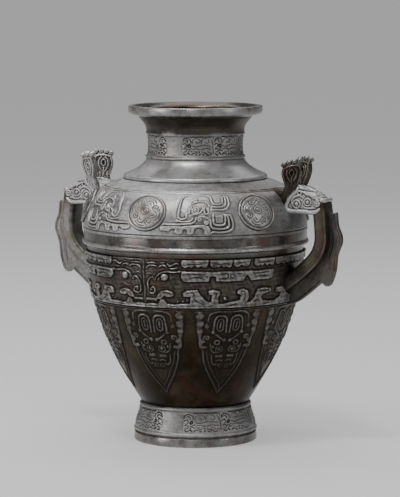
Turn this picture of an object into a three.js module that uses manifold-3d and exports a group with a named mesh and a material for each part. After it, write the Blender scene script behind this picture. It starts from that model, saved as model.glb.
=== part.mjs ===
// A cast bronze vase: nine turned sections and a base disc seated in each other, six applied
// roundels on the shoulder, and two beast handles pegged through the wall.
// Millimetres, +Z up, origin at the middle of the foot. The front faces -Y, the handles lie on +-X.

import * as THREE from 'three';
import { mergeVertices } from 'three/addons/utils/BufferGeometryUtils.js';
import Module from 'manifold-3d';

const wasm = await Module();
wasm.setup();

// Heights of the sections, stacked from the table up
const footRimHeight = 9.2;
const footHeight = 32.3;
const bellyHeight = 111;
const friezeHeight = 54.5;
const girdleHeight = 20.5;
const shoulderHeight = 54.5;
const collarHeight = 21.8;
const neckHeight = 45.2;
const mouthHeight = 11;

// Outer radii, and the steps between neighbouring mouldings
const footRimRadius = 66.3;
const footGrooveDepth = 3.3;
const footWaistRadius = 59;
const bellyFootInset = 1.5;
const bellyTopRadius = 109;
const friezeTopRadius = 117.3;
const grooveDepth = 1.1;
const girdleStep = 2.5;
const beadRise = 2.2;
const shoulderOverhang = 0.6;
const shoulderFlatRadius = 91.5;
const collarRadius = 77.2;
const collarEdge = 3.2;
const neckRadius = 50.5;
const neckBandHeight = 26.4;
const neckBeadRise = 3.1;
const throatFlare = 11;
const lipOverhang = 10.5;
const lipFlat = 5;

// Walls, seats and clearances
const wall = 3.5;
const footRimWall = 5;
const baseThickness = 4;
const baseLedge = 5;
const spigotHeight = 4;
const spigotWall = 2;
const fit = 0.3;

// Roundels on the shoulder
const roundelCount = 6;
const roundelRadius = 20.5;
const roundelLift = 27;
const roundelRise = 3.4;
const roundelRimRise = 1.6;

// Handles: the bar, its fin, the beast's head and its two palmate horns
const headLift = 23;
const headHeight = 26;
const headReach = 33;
const headRearInset = 14.5;
const headHalfWidth = 16;
const cheekBossHeight = 10.5;
const cheekBossReach = 26;
const lipReach = 3.5;
const lipRadius = 2.6;
const jawSocketDepth = 11;
const fingerGap = 23;
const armDepth = 15;
const armBreadth = 26;
const armFootHeight = 26;
const armWidestHeight = 18;
const finReach = 14;
const finThickness = 6;
const finFootDrop = 26;
const finFlangeRise = 11;
const finTailReach = 4;
const finShoulderRise = 30;
const hornHeight = 31;
const hornTopWidth = 22;
const hornFootWidth = 12.5;
const hornThickness = 6;
const hornFingers = 4;
const hornSpread = 13.5;
const hornInset = 1.5;
const hornTurn = 28;
const hornLean = 8.5;
const pegRadius = 4;
const pegHeadRadius = 8;
const pegHeadThickness = 3;
const headPegReach = 14;
const armPegReach = 8;

// Raised work on the belly, the frieze and the shoulder, and its turn from the front
const reliefRise = 1;
const reliefSink = 1;
const reliefLine = 2.4;
const bladeCount = 8;
const bladeTurn = 0.6;
const maskTurn = -1.25;
const maskEyeRadius = 4.6;
const maskEyeRise = 2.6;

// Facets round the axis and along a bar
const facets = 32;
const barSteps = 14;

// Radii that follow from those above
const footGrooveRadius = footRimRadius - footGrooveDepth;
const footBeadRadius = footRimRadius + 0.2;
const bellyFootRadius = footWaistRadius - bellyFootInset;
const grooveRadius = friezeTopRadius - grooveDepth;
const girdleRadius = friezeTopRadius + girdleStep;
const shoulderRadius = girdleRadius + shoulderOverhang;
const throatRadius = neckRadius + throatFlare;
const mouthRadius = throatRadius + lipOverhang;

// Height at which each section starts
const zFoot = footRimHeight;
const zBelly = zFoot + footHeight;
const zFrieze = zBelly + bellyHeight;
const zGirdle = zFrieze + friezeHeight;
const zShoulder = zGirdle + girdleHeight;
const zCollar = zShoulder + shoulderHeight;
const zNeck = zCollar + collarHeight;
const zMouth = zNeck + neckHeight;
const zTop = zMouth + mouthHeight;

const bronze = { color: 0x4a4238, roughness: 0.42, metalness: 0.85 };
const wornBronze = { color: 0x5c5346, roughness: 0.36, metalness: 0.88 };
const redBronze = { color: 0x4b3a2e, roughness: 0.4, metalness: 0.85 };

// Points of a profile are [radius, height]; every profile below runs from the bottom up.

// A smooth line from a to b that leaves along a1 and arrives along b1
function sweep(a, a1, b1, b, steps) {
  const curve = new THREE.CubicBezierCurve(
    new THREE.Vector2(...a),
    new THREE.Vector2(...a1),
    new THREE.Vector2(...b1),
    new THREE.Vector2(...b),
  );
  return curve.getPoints(steps).map((point) => [point.x, point.y]);
}

// A profile moved square to itself, outwards where distance is positive
function offset(profile, distance) {
  return profile.map(([radius, height], index) => {
    const before = profile[Math.max(index - 1, 0)];
    const after = profile[Math.min(index + 1, profile.length - 1)];
    const run = after[0] - before[0];
    const rise = after[1] - before[1];
    const length = Math.hypot(run, rise);
    return [radius + (distance * rise) / length, height - (distance * run) / length];
  });
}

// The inner surface of a wall, with half as many points as the outer one
function innerSkin(profile, thickness) {
  const last = profile.length - 1;
  const sparse = profile.filter((point, index) => index % 2 === 0 || index === last);
  return offset(sparse, -thickness);
}

function radiusAt(profile, height) {
  for (let index = 1; index < profile.length; index += 1) {
    const [lowRadius, low] = profile[index - 1];
    const [highRadius, high] = profile[index];
    if (height <= high) {
      return lowRadius + ((highRadius - lowRadius) * (height - low)) / (high - low);
    }
  }
  return profile[profile.length - 1][0];
}

// The same the other way round, for a profile whose radius grows with its height
function heightAt(profile, radius) {
  return radiusAt(profile.map(([r, z]) => [z, r]), radius);
}

// A solid of revolution about Z from a closed or axis-to-axis profile
function turned(profile, segments = facets) {
  const points = profile.map(([radius, height]) => new THREE.Vector2(radius, height));
  return new THREE.LatheGeometry(points, segments).rotateX(Math.PI / 2);
}

function ring(profile, segments = facets) {
  return turned([...profile, profile[0]], segments);
}

// Everything within a profile, from the axis out
function core(profile) {
  const bottom = [0, profile[0][1]];
  const top = [0, profile[profile.length - 1][1]];
  return solidOf(turned([bottom, ...profile, top]));
}

function solidOf(geometry) {
  const bare = geometry.clone();
  bare.deleteAttribute('normal');
  bare.deleteAttribute('uv');
  const merged = mergeVertices(bare, 1e-3);
  const corners = merged.index.array;
  const kept = [];
  for (let i = 0; i < corners.length; i += 3) {
    const [a, b, c] = [corners[i], corners[i + 1], corners[i + 2]];
    if (a !== b && b !== c && c !== a) kept.push(a, b, c);
  }
  const mesh = new wasm.Mesh({
    numProp: 3,
    vertProperties: Float32Array.from(merged.attributes.position.array),
    triVerts: Uint32Array.from(kept),
  });
  return new wasm.Manifold(mesh);
}

function geometryOf(solid) {
  const mesh = solid.getMesh();
  const geometry = new THREE.BufferGeometry();
  geometry.setAttribute('position', new THREE.BufferAttribute(mesh.vertProperties, 3));
  geometry.setIndex(new THREE.BufferAttribute(mesh.triVerts, 1));
  geometry.computeVertexNormals();
  return geometry;
}

const group = new THREE.Group();

function add(name, geometry, finish, parent = group) {
  const mesh = new THREE.Mesh(geometry, new THREE.MeshStandardMaterial(finish));
  mesh.name = name;
  parent.add(mesh);
  return mesh;
}

// A section seats on the one below and takes its spigot in a rebate of radius boreBelow.
// Its own spigot enters the section above, whose rebate has radius boreAbove.
function castSection({ outside, skin, boreBelow, boreAbove, rebateHeight = spigotHeight }) {
  const zLow = outside[0][1];
  const zHigh = outside[outside.length - 1][1];
  const spigotOuter = boreAbove - fit;
  const spigotInner = spigotOuter - spigotWall;
  const rebateTop = zLow + rebateHeight + fit;
  const inside = skin.filter(([, height]) => height > rebateTop + 1 && height < zHigh - wall - 1);
  return [
    ...outside,
    [spigotOuter, zHigh],
    [spigotOuter, zHigh + spigotHeight],
    [spigotInner, zHigh + spigotHeight],
    [spigotInner, zHigh - wall],
    ...inside.reverse(),
    [boreBelow, rebateTop],
    [boreBelow, zLow],
  ];
}

// Rebates, one for each seat between two sections
const footBore = footGrooveRadius - wall;
const bellyBore = bellyFootRadius - wall;
const friezeBore = bellyTopRadius - wall;
const girdleBore = grooveRadius - wall;
const shoulderBore = girdleRadius - wall;
const collarBore = collarRadius - 3 * wall;
const neckBore = neckRadius - wall;
const mouthBore = throatRadius - wall;

// Foot rim: the plain ring that stands on the table
const footRimTop = footRimRadius - 0.5;
add('foot_rim', ring([
  [footRimRadius - footRimWall, 0],
  [footRimRadius, 0],
  [footRimTop, zFoot],
  [footBore - fit, zFoot],
  [footBore - fit, zFoot + spigotHeight],
  [footBore - fit - spigotWall, zFoot + spigotHeight],
  [footBore - fit - spigotWall, zFoot - wall],
]), wornBronze);

// Foot: a flared band between two beads, with a ledge inside that carries the base disc
const footBandLow = zFoot + 6;
const footBandHigh = zBelly - 5.6;
const footBand = sweep(
  [footBeadRadius - 1.3, footBandLow],
  [footBeadRadius - 1.5, footBandLow + 7],
  [footWaistRadius + 2.2, footBandHigh - 8],
  [footWaistRadius + 0.9, footBandHigh],
  3,
);
const footLedgeRadius = bellyBore - baseLedge;
add('foot', ring([
  [footBore, zFoot],
  [footGrooveRadius, zFoot],
  [footGrooveRadius, zFoot + 1.3],
  [footBeadRadius, zFoot + 2.4],
  [footBeadRadius, zFoot + 4.4],
  ...footBand,
  [footWaistRadius, footBandHigh + 0.9],
  [footWaistRadius + 1.3, footBandHigh + 2.2],
  [footWaistRadius + 1.1, footBandHigh + 4],
  [footWaistRadius - 0.4, zBelly],
  [footLedgeRadius, zBelly],
  [footLedgeRadius, zBelly - wall],
  [footWaistRadius - wall, footBandHigh - 4],
  [footBore, zFoot + spigotHeight + 4],
]), bronze);

// Base disc: the vase's floor, which also centres the belly on the foot
add('base_plate', turned([
  [0, zBelly],
  [bellyBore - fit, zBelly],
  [bellyBore - fit, zBelly + baseThickness],
  [0, zBelly + baseThickness],
]), bronze);

// Belly: the tapered body with the row of hanging blades
const bellyLine = sweep(
  [bellyFootRadius, zBelly],
  [bellyFootRadius + bellyHeight * 0.22, zBelly + bellyHeight / 3],
  [bellyTopRadius - bellyHeight * 0.09, zFrieze - bellyHeight / 3],
  [bellyTopRadius, zFrieze],
  7,
);
const bellySection = castSection({
  outside: bellyLine,
  skin: innerSkin(bellyLine, wall),
  boreBelow: bellyBore,
  boreAbove: friezeBore,
  rebateHeight: baseThickness,
});

// Frieze band: slightly bulged, with a raised line at its foot
const friezeLine = sweep(
  [bellyTopRadius + 1.4, zFrieze + 2.8],
  [bellyTopRadius + 4.6, zFrieze + friezeHeight * 0.3],
  [friezeTopRadius - 1.6, zFrieze + friezeHeight * 0.6],
  [friezeTopRadius, zGirdle - 1],
  4,
);
const friezeSection = castSection({
  outside: [
    [bellyTopRadius + 0.4, zFrieze],
    [bellyTopRadius + 1.8, zFrieze + 1.4],
    ...friezeLine,
    [grooveRadius, zGirdle],
  ],
  skin: offset(friezeLine, -wall),
  boreBelow: friezeBore,
  boreAbove: girdleBore,
});

// Girdle: a plain belt over a bead and a groove
const grooveTop = zGirdle + 5;
const beadTop = grooveTop + 6;
const girdleSection = castSection({
  outside: [
    [grooveRadius, zGirdle],
    [grooveRadius + 0.4, grooveTop],
    [girdleRadius + beadRise - 0.6, grooveTop + 1.4],
    [girdleRadius + beadRise, grooveTop + 3],
    [girdleRadius + beadRise - 0.6, grooveTop + 4.6],
    [girdleRadius, beadTop],
    [girdleRadius, zShoulder],
  ],
  skin: [
    [girdleRadius - wall, beadTop],
    [girdleRadius - wall, zShoulder - wall - 2],
  ],
  boreBelow: girdleBore,
  boreAbove: shoulderBore,
});
add('girdle', ring(girdleSection), redBronze);

// Shoulder: a domed ring with a plain shelf at the top that carries the collar
const shelfRadius = collarRadius + 1;
const domeTop = zCollar - 5;
const domeLine = sweep(
  [shoulderRadius, zShoulder],
  [shoulderRadius + 0.2, zShoulder + (domeTop - zShoulder) * 0.5],
  [shoulderFlatRadius + (shoulderRadius - shoulderFlatRadius) * 0.62, domeTop - 6.5],
  [shoulderFlatRadius, domeTop],
  7,
);
const shoulderOutside = [...domeLine, [shelfRadius, zCollar]];
const shoulderSection = castSection({
  outside: shoulderOutside,
  skin: innerSkin(domeLine, wall),
  boreBelow: shoulderBore,
  boreAbove: collarBore,
});

// Collar: a thin lip that flares in to the neck
const collarLine = sweep(
  [collarRadius - 1, zCollar + collarEdge + 1.4],
  [collarRadius - 10.7, zCollar + collarEdge + 5.3],
  [neckRadius + 5, zNeck - 7.8],
  [neckRadius + 2.2, zNeck - 0.8],
  5,
);
const collarSection = castSection({
  outside: [
    [collarRadius - 1.4, zCollar],
    [collarRadius, zCollar + 1.2],
    [collarRadius, zCollar + collarEdge],
    ...collarLine,
    [neckRadius + 1.8, zNeck],
  ],
  skin: innerSkin(collarLine, wall),
  boreBelow: collarBore,
  boreAbove: neckBore,
});
add('collar', ring(collarSection), wornBronze);

// Neck: a band between a bead and a ledge, then the throat that opens to the mouth
const ledgeHeight = zNeck + neckBandHeight;
const throatLine = sweep(
  [neckRadius + 2, ledgeHeight + 2],
  [neckRadius + 2, zMouth - 9],
  [throatRadius - 5, zMouth - 7],
  [throatRadius, zMouth],
  4,
);
const neckSkin = [
  [neckBore, ledgeHeight],
  ...innerSkin(throatLine, wall),
];
const neckSection = castSection({
  outside: [
    [neckRadius + 1.8, zNeck],
    [neckRadius + neckBeadRise, zNeck + 1.2],
    [neckRadius + neckBeadRise, zNeck + 2.6],
    [neckRadius + 1.2, zNeck + 4],
    [neckRadius, (zNeck + ledgeHeight) / 2],
    [neckRadius + 1, ledgeHeight - 1.6],
    [neckRadius + neckBeadRise - 0.5, ledgeHeight],
    [neckRadius + neckBeadRise - 0.7, ledgeHeight + 1.2],
    ...throatLine,
  ],
  skin: neckSkin,
  boreBelow: neckBore,
  boreAbove: mouthBore,
});
add('neck', ring(neckSection), bronze);

// Mouth rim: an upright lip with a flat top that dips into the mouth
const mouthInner = mouthBore - fit - spigotWall;
add('mouth_rim', ring([
  [mouthBore, zMouth],
  [throatRadius, zMouth],
  [mouthRadius - 5, zMouth + 1.3],
  [mouthRadius - 1.2, zMouth + 2.8],
  [mouthRadius - 0.4, zMouth + 4.4],
  [mouthRadius, zTop - 1],
  [mouthRadius - 0.7, zTop],
  [mouthRadius - 0.7 - lipFlat, zTop],
  [mouthInner + 2, zTop - 3.4],
  [mouthInner, zMouth + spigotHeight + 1.5],
  [mouthInner, zMouth + spigotHeight + fit],
  [mouthBore, zMouth + spigotHeight + fit],
]), wornBronze);

// What the applied pieces are cut by, so that they sit on the body with the clearance
const bodyLine = [
  ...bellyLine,
  [bellyTopRadius + 1.8, zFrieze + 1.4],
  ...friezeLine,
  [grooveRadius, zGirdle],
  [girdleRadius, beadTop],
  ...shoulderOutside,
];
const seatedBody = core(offset(bodyLine, fit));
const friezeHollow = core(offset(friezeLine, -wall - fit));
const shoulderHollow = core(innerSkin(domeLine, wall + fit));

// Pegs hold the handles: each has its head inside the vase and goes out through the wall
function pegAlongX(xHead, xEnd, height, hollow) {
  const shank = new THREE.CylinderGeometry(pegRadius, pegRadius, xEnd - xHead, 16);
  shank.rotateZ(Math.PI / 2).translate((xHead + xEnd) / 2, 0, height);
  const headLength = 4 * pegHeadThickness;
  const head = new THREE.CylinderGeometry(pegHeadRadius, pegHeadRadius, headLength, 16);
  head.rotateZ(Math.PI / 2).translate(xHead + headLength / 2, 0, height);
  return solidOf(shank).add(solidOf(head).intersect(hollow));
}

function pegHole(xStart, xEnd, height) {
  const radius = pegRadius + fit;
  const hole = new THREE.CylinderGeometry(radius, radius, xEnd - xStart, 16);
  hole.rotateZ(Math.PI / 2).translate((xStart + xEnd) / 2, 0, height);
  return solidOf(hole);
}

const zHead = zShoulder + headLift;
const zHeadTop = zHead + headHeight;
const zArmFoot = zFrieze + armFootHeight;
const armFootRadius = radiusAt(friezeLine, zArmFoot);

// The bar's centre line, in the plane of the handle
const armCentre = shoulderRadius + fingerGap + armDepth / 2;
const zWidest = zGirdle + armWidestHeight;
const armRoot = new THREE.Vector3(armFootRadius - 10, 0, zArmFoot - 8);
const armWidest = new THREE.Vector3(armCentre, 0, zWidest);
const armTop = new THREE.Vector3(armCentre - 3.5, 0, zHead + jawSocketDepth);
const armLine = new THREE.CurvePath();
armLine.add(new THREE.CubicBezierCurve3(
  armTop,
  new THREE.Vector3(armCentre - 1.6, 0, zHead - 1),
  new THREE.Vector3(armCentre, 0, zWidest + 11),
  armWidest,
));
armLine.add(new THREE.CubicBezierCurve3(
  armWidest,
  new THREE.Vector3(armCentre, 0, zWidest - 19),
  new THREE.Vector3(armCentre - 13, 0, zArmFoot + 16),
  armRoot,
));

// The pegs' places: in the head's rear, and on the bar's centre line at its foot
const zHeadPeg = zHead + 8;
const headPegRadius = radiusAt(domeLine, zHeadPeg);
const headPegStart = headPegRadius - wall - pegHeadThickness - 1;
const headPegEnd = headPegRadius + headPegReach;
const lowerBar = armLine.getSpacedPoints(60).map((point) => [point.x, point.z]).reverse();
const zArmPeg = heightAt(lowerBar, armFootRadius + armPegReach / 2);
const armPegRadius = radiusAt(friezeLine, zArmPeg);
const armPegStart = armPegRadius - wall - pegHeadThickness - 1;
const armPegEnd = armPegRadius + armPegReach;

// Raised work is drawn as [bearing, run] points: degrees from the middle of the front or of a
// blade, and millimetres up the band's surface.
const bellyDrawnRun = 122.6;
const friezeDrawnRun = 51.2;
const shoulderDrawnRun = 61.3;

// Height at a share of a profile's length
function heightAlong(profile, share) {
  const steps = profile.slice(1).map(([radius, height], index) => (
    Math.hypot(radius - profile[index][0], height - profile[index][1])
  ));
  let left = share * steps.reduce((sum, step) => sum + step, 0);
  for (let index = 0; index < steps.length; index += 1) {
    const low = profile[index][1];
    const high = profile[index + 1][1];
    if (left <= steps[index]) return low + ((high - low) * left) / steps[index];
    left -= steps[index];
  }
  return profile[profile.length - 1][1];
}

// A line of even width, drawn as the outline round it
function ribbon(points, width = reliefLine) {
  const perDegree = (Math.PI / 180) * shoulderRadius;
  const flat = points.map(([bearing, run]) => new THREE.Vector2(bearing * perDegree, run));
  const sides = [[], []];
  flat.forEach((point, index) => {
    const before = flat[Math.max(index - 1, 0)];
    const after = flat[Math.min(index + 1, flat.length - 1)];
    const aside = after.clone().sub(before).normalize().multiplyScalar(width / 2);
    sides[0].push([(point.x - aside.y) / perDegree, point.y + aside.x]);
    sides[1].unshift([(point.x + aside.y) / perDegree, point.y - aside.x]);
  });
  return [...sides[0], ...sides[1]];
}

function rectangle(left, right, low, high) {
  return [[left, low], [right, low], [right, high], [left, high]];
}

// A block that widens from the axis outwards, from an outline of [bearing, height] points
function radialBlock(outline) {
  const near = bellyFootRadius * 0.7;
  const far = shoulderRadius * 1.3;
  const corners = outline.map(([bearing, height]) => new THREE.Vector2(bearing, height));
  const settings = { depth: 1, bevelEnabled: false };
  const geometry = new THREE.ExtrudeGeometry(new THREE.Shape(corners), settings);
  const place = geometry.attributes.position;
  for (let index = 0; index < place.count; index += 1) {
    const bearing = THREE.MathUtils.degToRad(place.getX(index));
    const reach = THREE.MathUtils.lerp(near, far, place.getZ(index));
    place.setXYZ(index, reach * Math.sin(bearing), -reach * Math.cos(bearing), place.getY(index));
  }
  return solidOf(geometry);
}

// The forms on one side of each facing and their mirror images, as a thin layer over the band's line
function raisedWork(line, drawnRun, forms, turn = 0, facings = [0, 180]) {
  const shell = solidOf(ring([...offset(line, reliefRise), ...offset(line, -reliefSink).reverse()]));
  const blocks = [];
  for (const side of [-1, 1]) {
    for (const facing of facings) {
      for (const form of forms) {
        blocks.push(radialBlock(form.map(([bearing, run]) => [
          facing + turn + side * bearing,
          heightAlong(line, run / drawnRun),
        ])));
      }
    }
  }
  return blocks.reduce((whole, block) => whole.add(block)).intersect(shell);
}

// Half of a hanging blade: its border, and the long eye under the frieze
const bladeForms = [
  [
    [-0.4, 21], [7.2, 36], [13.2, 55], [17.2, 84], [19.6, 120], [14.4, 120], [13.6, 80],
    [9.2, 52], [-0.4, 28.5],
  ],
  rectangle(1.4, 8.6, 98.5, 115),
];
const bladeFacings = Array.from({ length: bladeCount }, (_, index) => (360 * index) / bladeCount);
const bladeRelief = raisedWork(bellyLine, bellyDrawnRun, bladeForms, bladeTurn, bladeFacings);
add('belly', geometryOf(solidOf(ring(bellySection)).add(bladeRelief)), bronze);

// Mask at the front and the back: its nose, brows and horns, and the body in bands beside it
const maskForms = [
  ribbon([[0, 0.5], [0, 50]]),
  ribbon([[5.4, 21.4], [5.4, 16.4], [2.4, 17.5], [2.4, 26], [5.4, 32.4]], 2),
  ribbon([[6.3, 28.6], [8.5, 35.9], [13.2, 38.6], [19.6, 38.9]]),
  [[13.4, 42], [18.2, 42], [18.8, 48.2], [14.4, 48.2]],
  [[9, 18.9], [15.8, 18.9], [11.6, 12], [12.2, 3.4], [7.4, 3.4]],
];
const bodyForms = [
  rectangle(21.6, 45, 43.6, 49.4),
  rectangle(46.6, 70, 43.6, 49.4),
  [[20.6, 38.8], [20.6, 29], [53.9, 29], [55.5, 34.4], [57.2, 29], [70.6, 29], [71.8, 38.8]],
  [[21.4, 12.4], [21.4, 18.9], [29.4, 18.9], [29.4, 9], [34.6, 5.4], [27, 4.4], [26.2, 12.4]],
  [[60.2, 14], [58, 6], [61, 6.4], [65, 14.2], [71.4, 14.2], [71.4, 19.2], [62.2, 19.2]],
];
const maskRelief = raisedWork(friezeLine, friezeDrawnRun, [...maskForms, ...bodyForms], maskTurn);

// The mask's eyes: domes on both sides of each nose
const maskEyeBearing = 11.5;
const maskEyeRun = 32.6;
const zMaskEye = heightAlong(friezeLine, maskEyeRun / friezeDrawnRun);
const maskEyes = [];
for (const side of [-1, 1]) {
  for (const facing of [0, 180]) {
    const bearing = THREE.MathUtils.degToRad(facing + maskTurn + side * maskEyeBearing);
    const dome = new THREE.SphereGeometry(maskEyeRadius, 8, 6);
    dome.scale(1, maskEyeRise / maskEyeRadius, 1);
    dome.translate(0, -radiusAt(friezeLine, zMaskEye), zMaskEye).rotateZ(bearing);
    maskEyes.push(solidOf(dome));
  }
}

// A coiled dragon between two roundels: its head, crest, tail and the scalloped body below
const dragonForms = [
  ribbon([[23.4, 50.4], [18.8, 44], [17.6, 31], [17.6, 25], [20.6, 21.6]]),
  ribbon([[23.4, 50.4], [32.4, 49.2], [36.2, 38.6], [39.6, 37.8], [41.5, 46.6]]),
  ribbon([[34.6, 32.6], [42.2, 33], [44.3, 47.2]], 3.4),
  ribbon([[34, 20], [34.8, 12], [42.4, 12], [43.2, 22.4]]),
  ribbon([[44.9, 22.6], [44.4, 8.4], [34, 6.8]], 2),
  ribbon([[9.6, 15.9], [23.8, 16.6], [26.4, 22]]),
  rectangle(24.8, 27.8, 29, 33),
  [
    [8.4, 13.2], [8.6, 9.9], [14.4, 10.6], [17.6, 6], [21.4, 10.6], [23.8, 5.6], [27, 12],
    [31.8, 5], [33, 13.4],
  ],
];
const dragonRelief = raisedWork(domeLine, shoulderDrawnRun, dragonForms);

// A pair of holes for pegs, cut through a section on both sides
function withPegHoles(solid, innerX, outerX, height) {
  return solid.subtract(pegHole(innerX, outerX, height)).subtract(pegHole(-outerX, -innerX, height));
}

const friezeBare = withPegHoles(solidOf(ring(friezeSection)), armPegStart, armPegEnd, zArmPeg);
const friezeSolid = maskEyes.reduce((solid, eye) => solid.add(eye), friezeBare.add(maskRelief));
add('frieze_band', geometryOf(friezeSolid), bronze);
const shoulderBare = withPegHoles(solidOf(ring(shoulderSection)), headPegStart, headPegEnd, zHeadPeg);
add('shoulder', geometryOf(shoulderBare.add(dragonRelief)), bronze);

// Roundels: domed discs with a raised rim, cut to lie on the shoulder
const zRoundel = zShoulder + roundelLift;
const roundelSeat = radiusAt(domeLine, zRoundel);
const aboveSeat = radiusAt(domeLine, zRoundel + 4);
const belowSeat = radiusAt(domeLine, zRoundel - 4);
const roundelTilt = Math.atan2(belowSeat - aboveSeat, 8);
const roundelDepth = 7;
const roundelProfile = [
  [0, -roundelDepth],
  [roundelRadius, -roundelDepth],
  [roundelRadius, roundelRimRise - 2],
  [roundelRadius - 1.5, roundelRimRise - 0.6],
  [roundelRadius - 4, roundelRimRise - 0.4],
  [roundelRadius - 5, roundelRimRise - 1],
  [roundelRadius * 0.5, roundelRise - 0.6],
  [0, roundelRise],
];
const roundelDisc = turned(roundelProfile, 20);
roundelDisc.rotateY(Math.PI / 2 - roundelTilt).translate(roundelSeat, 0, zRoundel);
for (let index = 0; index < roundelCount; index += 1) {
  const bearing = (2 * Math.PI * index) / roundelCount - Math.PI / 2;
  const placed = roundelDisc.clone().rotateZ(bearing);
  const seated = solidOf(placed).subtract(seatedBody);
  add(`roundel_${index + 1}`, geometryOf(seated), wornBronze);
}

// A bar of rounded rectangular section along the centre line, grown by a margin
function bar(margin) {
  const halfBreadth = armBreadth / 2 + margin;
  const halfDepth = armDepth / 2 + margin;
  const cornerBreadth = 5;
  const cornerDepth = 4;
  const section = new THREE.Shape([
    new THREE.Vector2(-halfBreadth, -halfDepth + cornerDepth),
    new THREE.Vector2(-halfBreadth + cornerBreadth * 0.3, -halfDepth + cornerDepth * 0.3),
    new THREE.Vector2(-halfBreadth + cornerBreadth, -halfDepth),
    new THREE.Vector2(halfBreadth - cornerBreadth, -halfDepth),
    new THREE.Vector2(halfBreadth - cornerBreadth * 0.3, -halfDepth + cornerDepth * 0.3),
    new THREE.Vector2(halfBreadth, -halfDepth + cornerDepth),
    new THREE.Vector2(halfBreadth, halfDepth - cornerDepth),
    new THREE.Vector2(halfBreadth - cornerBreadth * 0.3, halfDepth - cornerDepth * 0.3),
    new THREE.Vector2(halfBreadth - cornerBreadth, halfDepth),
    new THREE.Vector2(-halfBreadth + cornerBreadth, halfDepth),
    new THREE.Vector2(-halfBreadth + cornerBreadth * 0.3, halfDepth - cornerDepth * 0.3),
    new THREE.Vector2(-halfBreadth, halfDepth - cornerDepth),
  ]);
  return solidOf(new THREE.ExtrudeGeometry(section, { extrudePath: armLine, steps: barSteps }));
}

// A plate in the handle's plane, with its outline given as [radius, height] points
function plate(outline, thickness, bevel = 0) {
  const shape = new THREE.Shape(outline.map(([x, z]) => new THREE.Vector2(x, z)));
  const settings = {
    depth: thickness - 2 * bevel,
    bevelEnabled: bevel > 0,
    bevelThickness: bevel,
    bevelSize: bevel,
    bevelOffset: -bevel,
    bevelSegments: 1,
    steps: 1,
  };
  const geometry = new THREE.ExtrudeGeometry(shape, settings);
  return geometry.rotateX(Math.PI / 2).translate(0, thickness / 2 - bevel, 0);
}

const armCutter = bar(fit);
const armPeg = pegAlongX(armPegStart, armPegEnd, zArmPeg, friezeHollow);
const armSocket = pegHole(armPegRadius - 2, armPegEnd + 1, zArmPeg);
const arm = bar(0).subtract(seatedBody).subtract(armSocket);

// Fin: a plate outside the bar, with a peak at mid-height and a pointed tail
const finEdge = armCentre + armDepth / 2 + finReach;
const finTailRadius = armCentre + finTailReach;
const zFinFoot = zArmFoot - finFootDrop;
const finInner = armLine.getSpacedPoints(10).slice(1).map((point) => [point.x, point.z]);
const finOutline = [
  [armCentre, zHead + 1],
  ...finInner,
  [armFootRadius - 8, zFinFoot],
  [armFootRadius + 1, zFinFoot],
  [armFootRadius + 17, zFinFoot + finFlangeRise],
  [finTailRadius - 4, zArmFoot],
  [finTailRadius, zArmFoot - 4.5],
  [finTailRadius + 6, zArmFoot - 1],
  [finEdge - 7, zArmFoot + 12],
  [finEdge - 5.5, zArmFoot + finShoulderRise],
  [finEdge - 2.5, zWidest - 10],
  [finEdge, zWidest - 3],
  [finEdge - 2, zWidest + 5],
  [finEdge - 5.5, zWidest + 15],
  [finEdge - 6, zHead + 1],
];
const finBlank = solidOf(plate(finOutline, finThickness));
const fin = finBlank.subtract(armCutter).subtract(seatedBody);

// Head: a blunt beast that bites the bar, with spiral bosses on its cheeks
const snout = shoulderRadius + headReach;
const headRear = shoulderRadius - headRearInset;
const headOutline = [
  [headRear, zHead],
  [snout - 8, zHead - 0.4],
  [snout - 1.5, zHead + 3],
  [snout, zHead + 9],
  [snout - 2, zHead + 15.5],
  [snout - 12, zHeadTop - 4],
  [snout - 24, zHeadTop - 0.8],
  [snout - 36, zHeadTop],
  [headRear, zHeadTop],
];
const headBlank = plate(headOutline, 2 * headHalfWidth, 3);
const headPositions = headBlank.attributes.position;
const snoutWidthShare = 0.86;
for (let index = 0; index < headPositions.count; index += 1) {
  const along = (headPositions.getX(index) - headRear) / (snout - headRear);
  const share = THREE.MathUtils.lerp(1, snoutWidthShare, THREE.MathUtils.clamp(along, 0, 1));
  headPositions.setY(index, headPositions.getY(index) * share);
}
const zCheek = zHead + cheekBossHeight;
const cheekBosses = [
  { x: snout - cheekBossReach, z: zCheek, radius: 5.5 },
  { x: snout - cheekBossReach + 11, z: zCheek + 1, radius: 4.4 },
  { x: snout - cheekBossReach + 19.5, z: zCheek + 0.3, radius: 3.6 },
];
let headSolid = solidOf(headBlank);
for (const boss of cheekBosses) {
  const cheek = headHalfWidth * THREE.MathUtils.lerp(
    1,
    snoutWidthShare,
    (boss.x - headRear) / (snout - headRear),
  );
  for (const side of [-1, 1]) {
    const dome = new THREE.SphereGeometry(boss.radius, 8, 5).scale(1, 0.5, 1);
    dome.translate(boss.x, side * (cheek - 0.5), boss.z);
    headSolid = headSolid.add(solidOf(dome));
  }
}

// Upper lip: a roll across the snout that curls over the bar
const lipHalfWidth = 9;
const lip = new THREE.CapsuleGeometry(lipRadius, 2 * lipHalfWidth, 2, 8);
lip.translate(snout + lipReach - lipRadius, 0, zHead + 13.6);
headSolid = headSolid.add(solidOf(lip));

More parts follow.
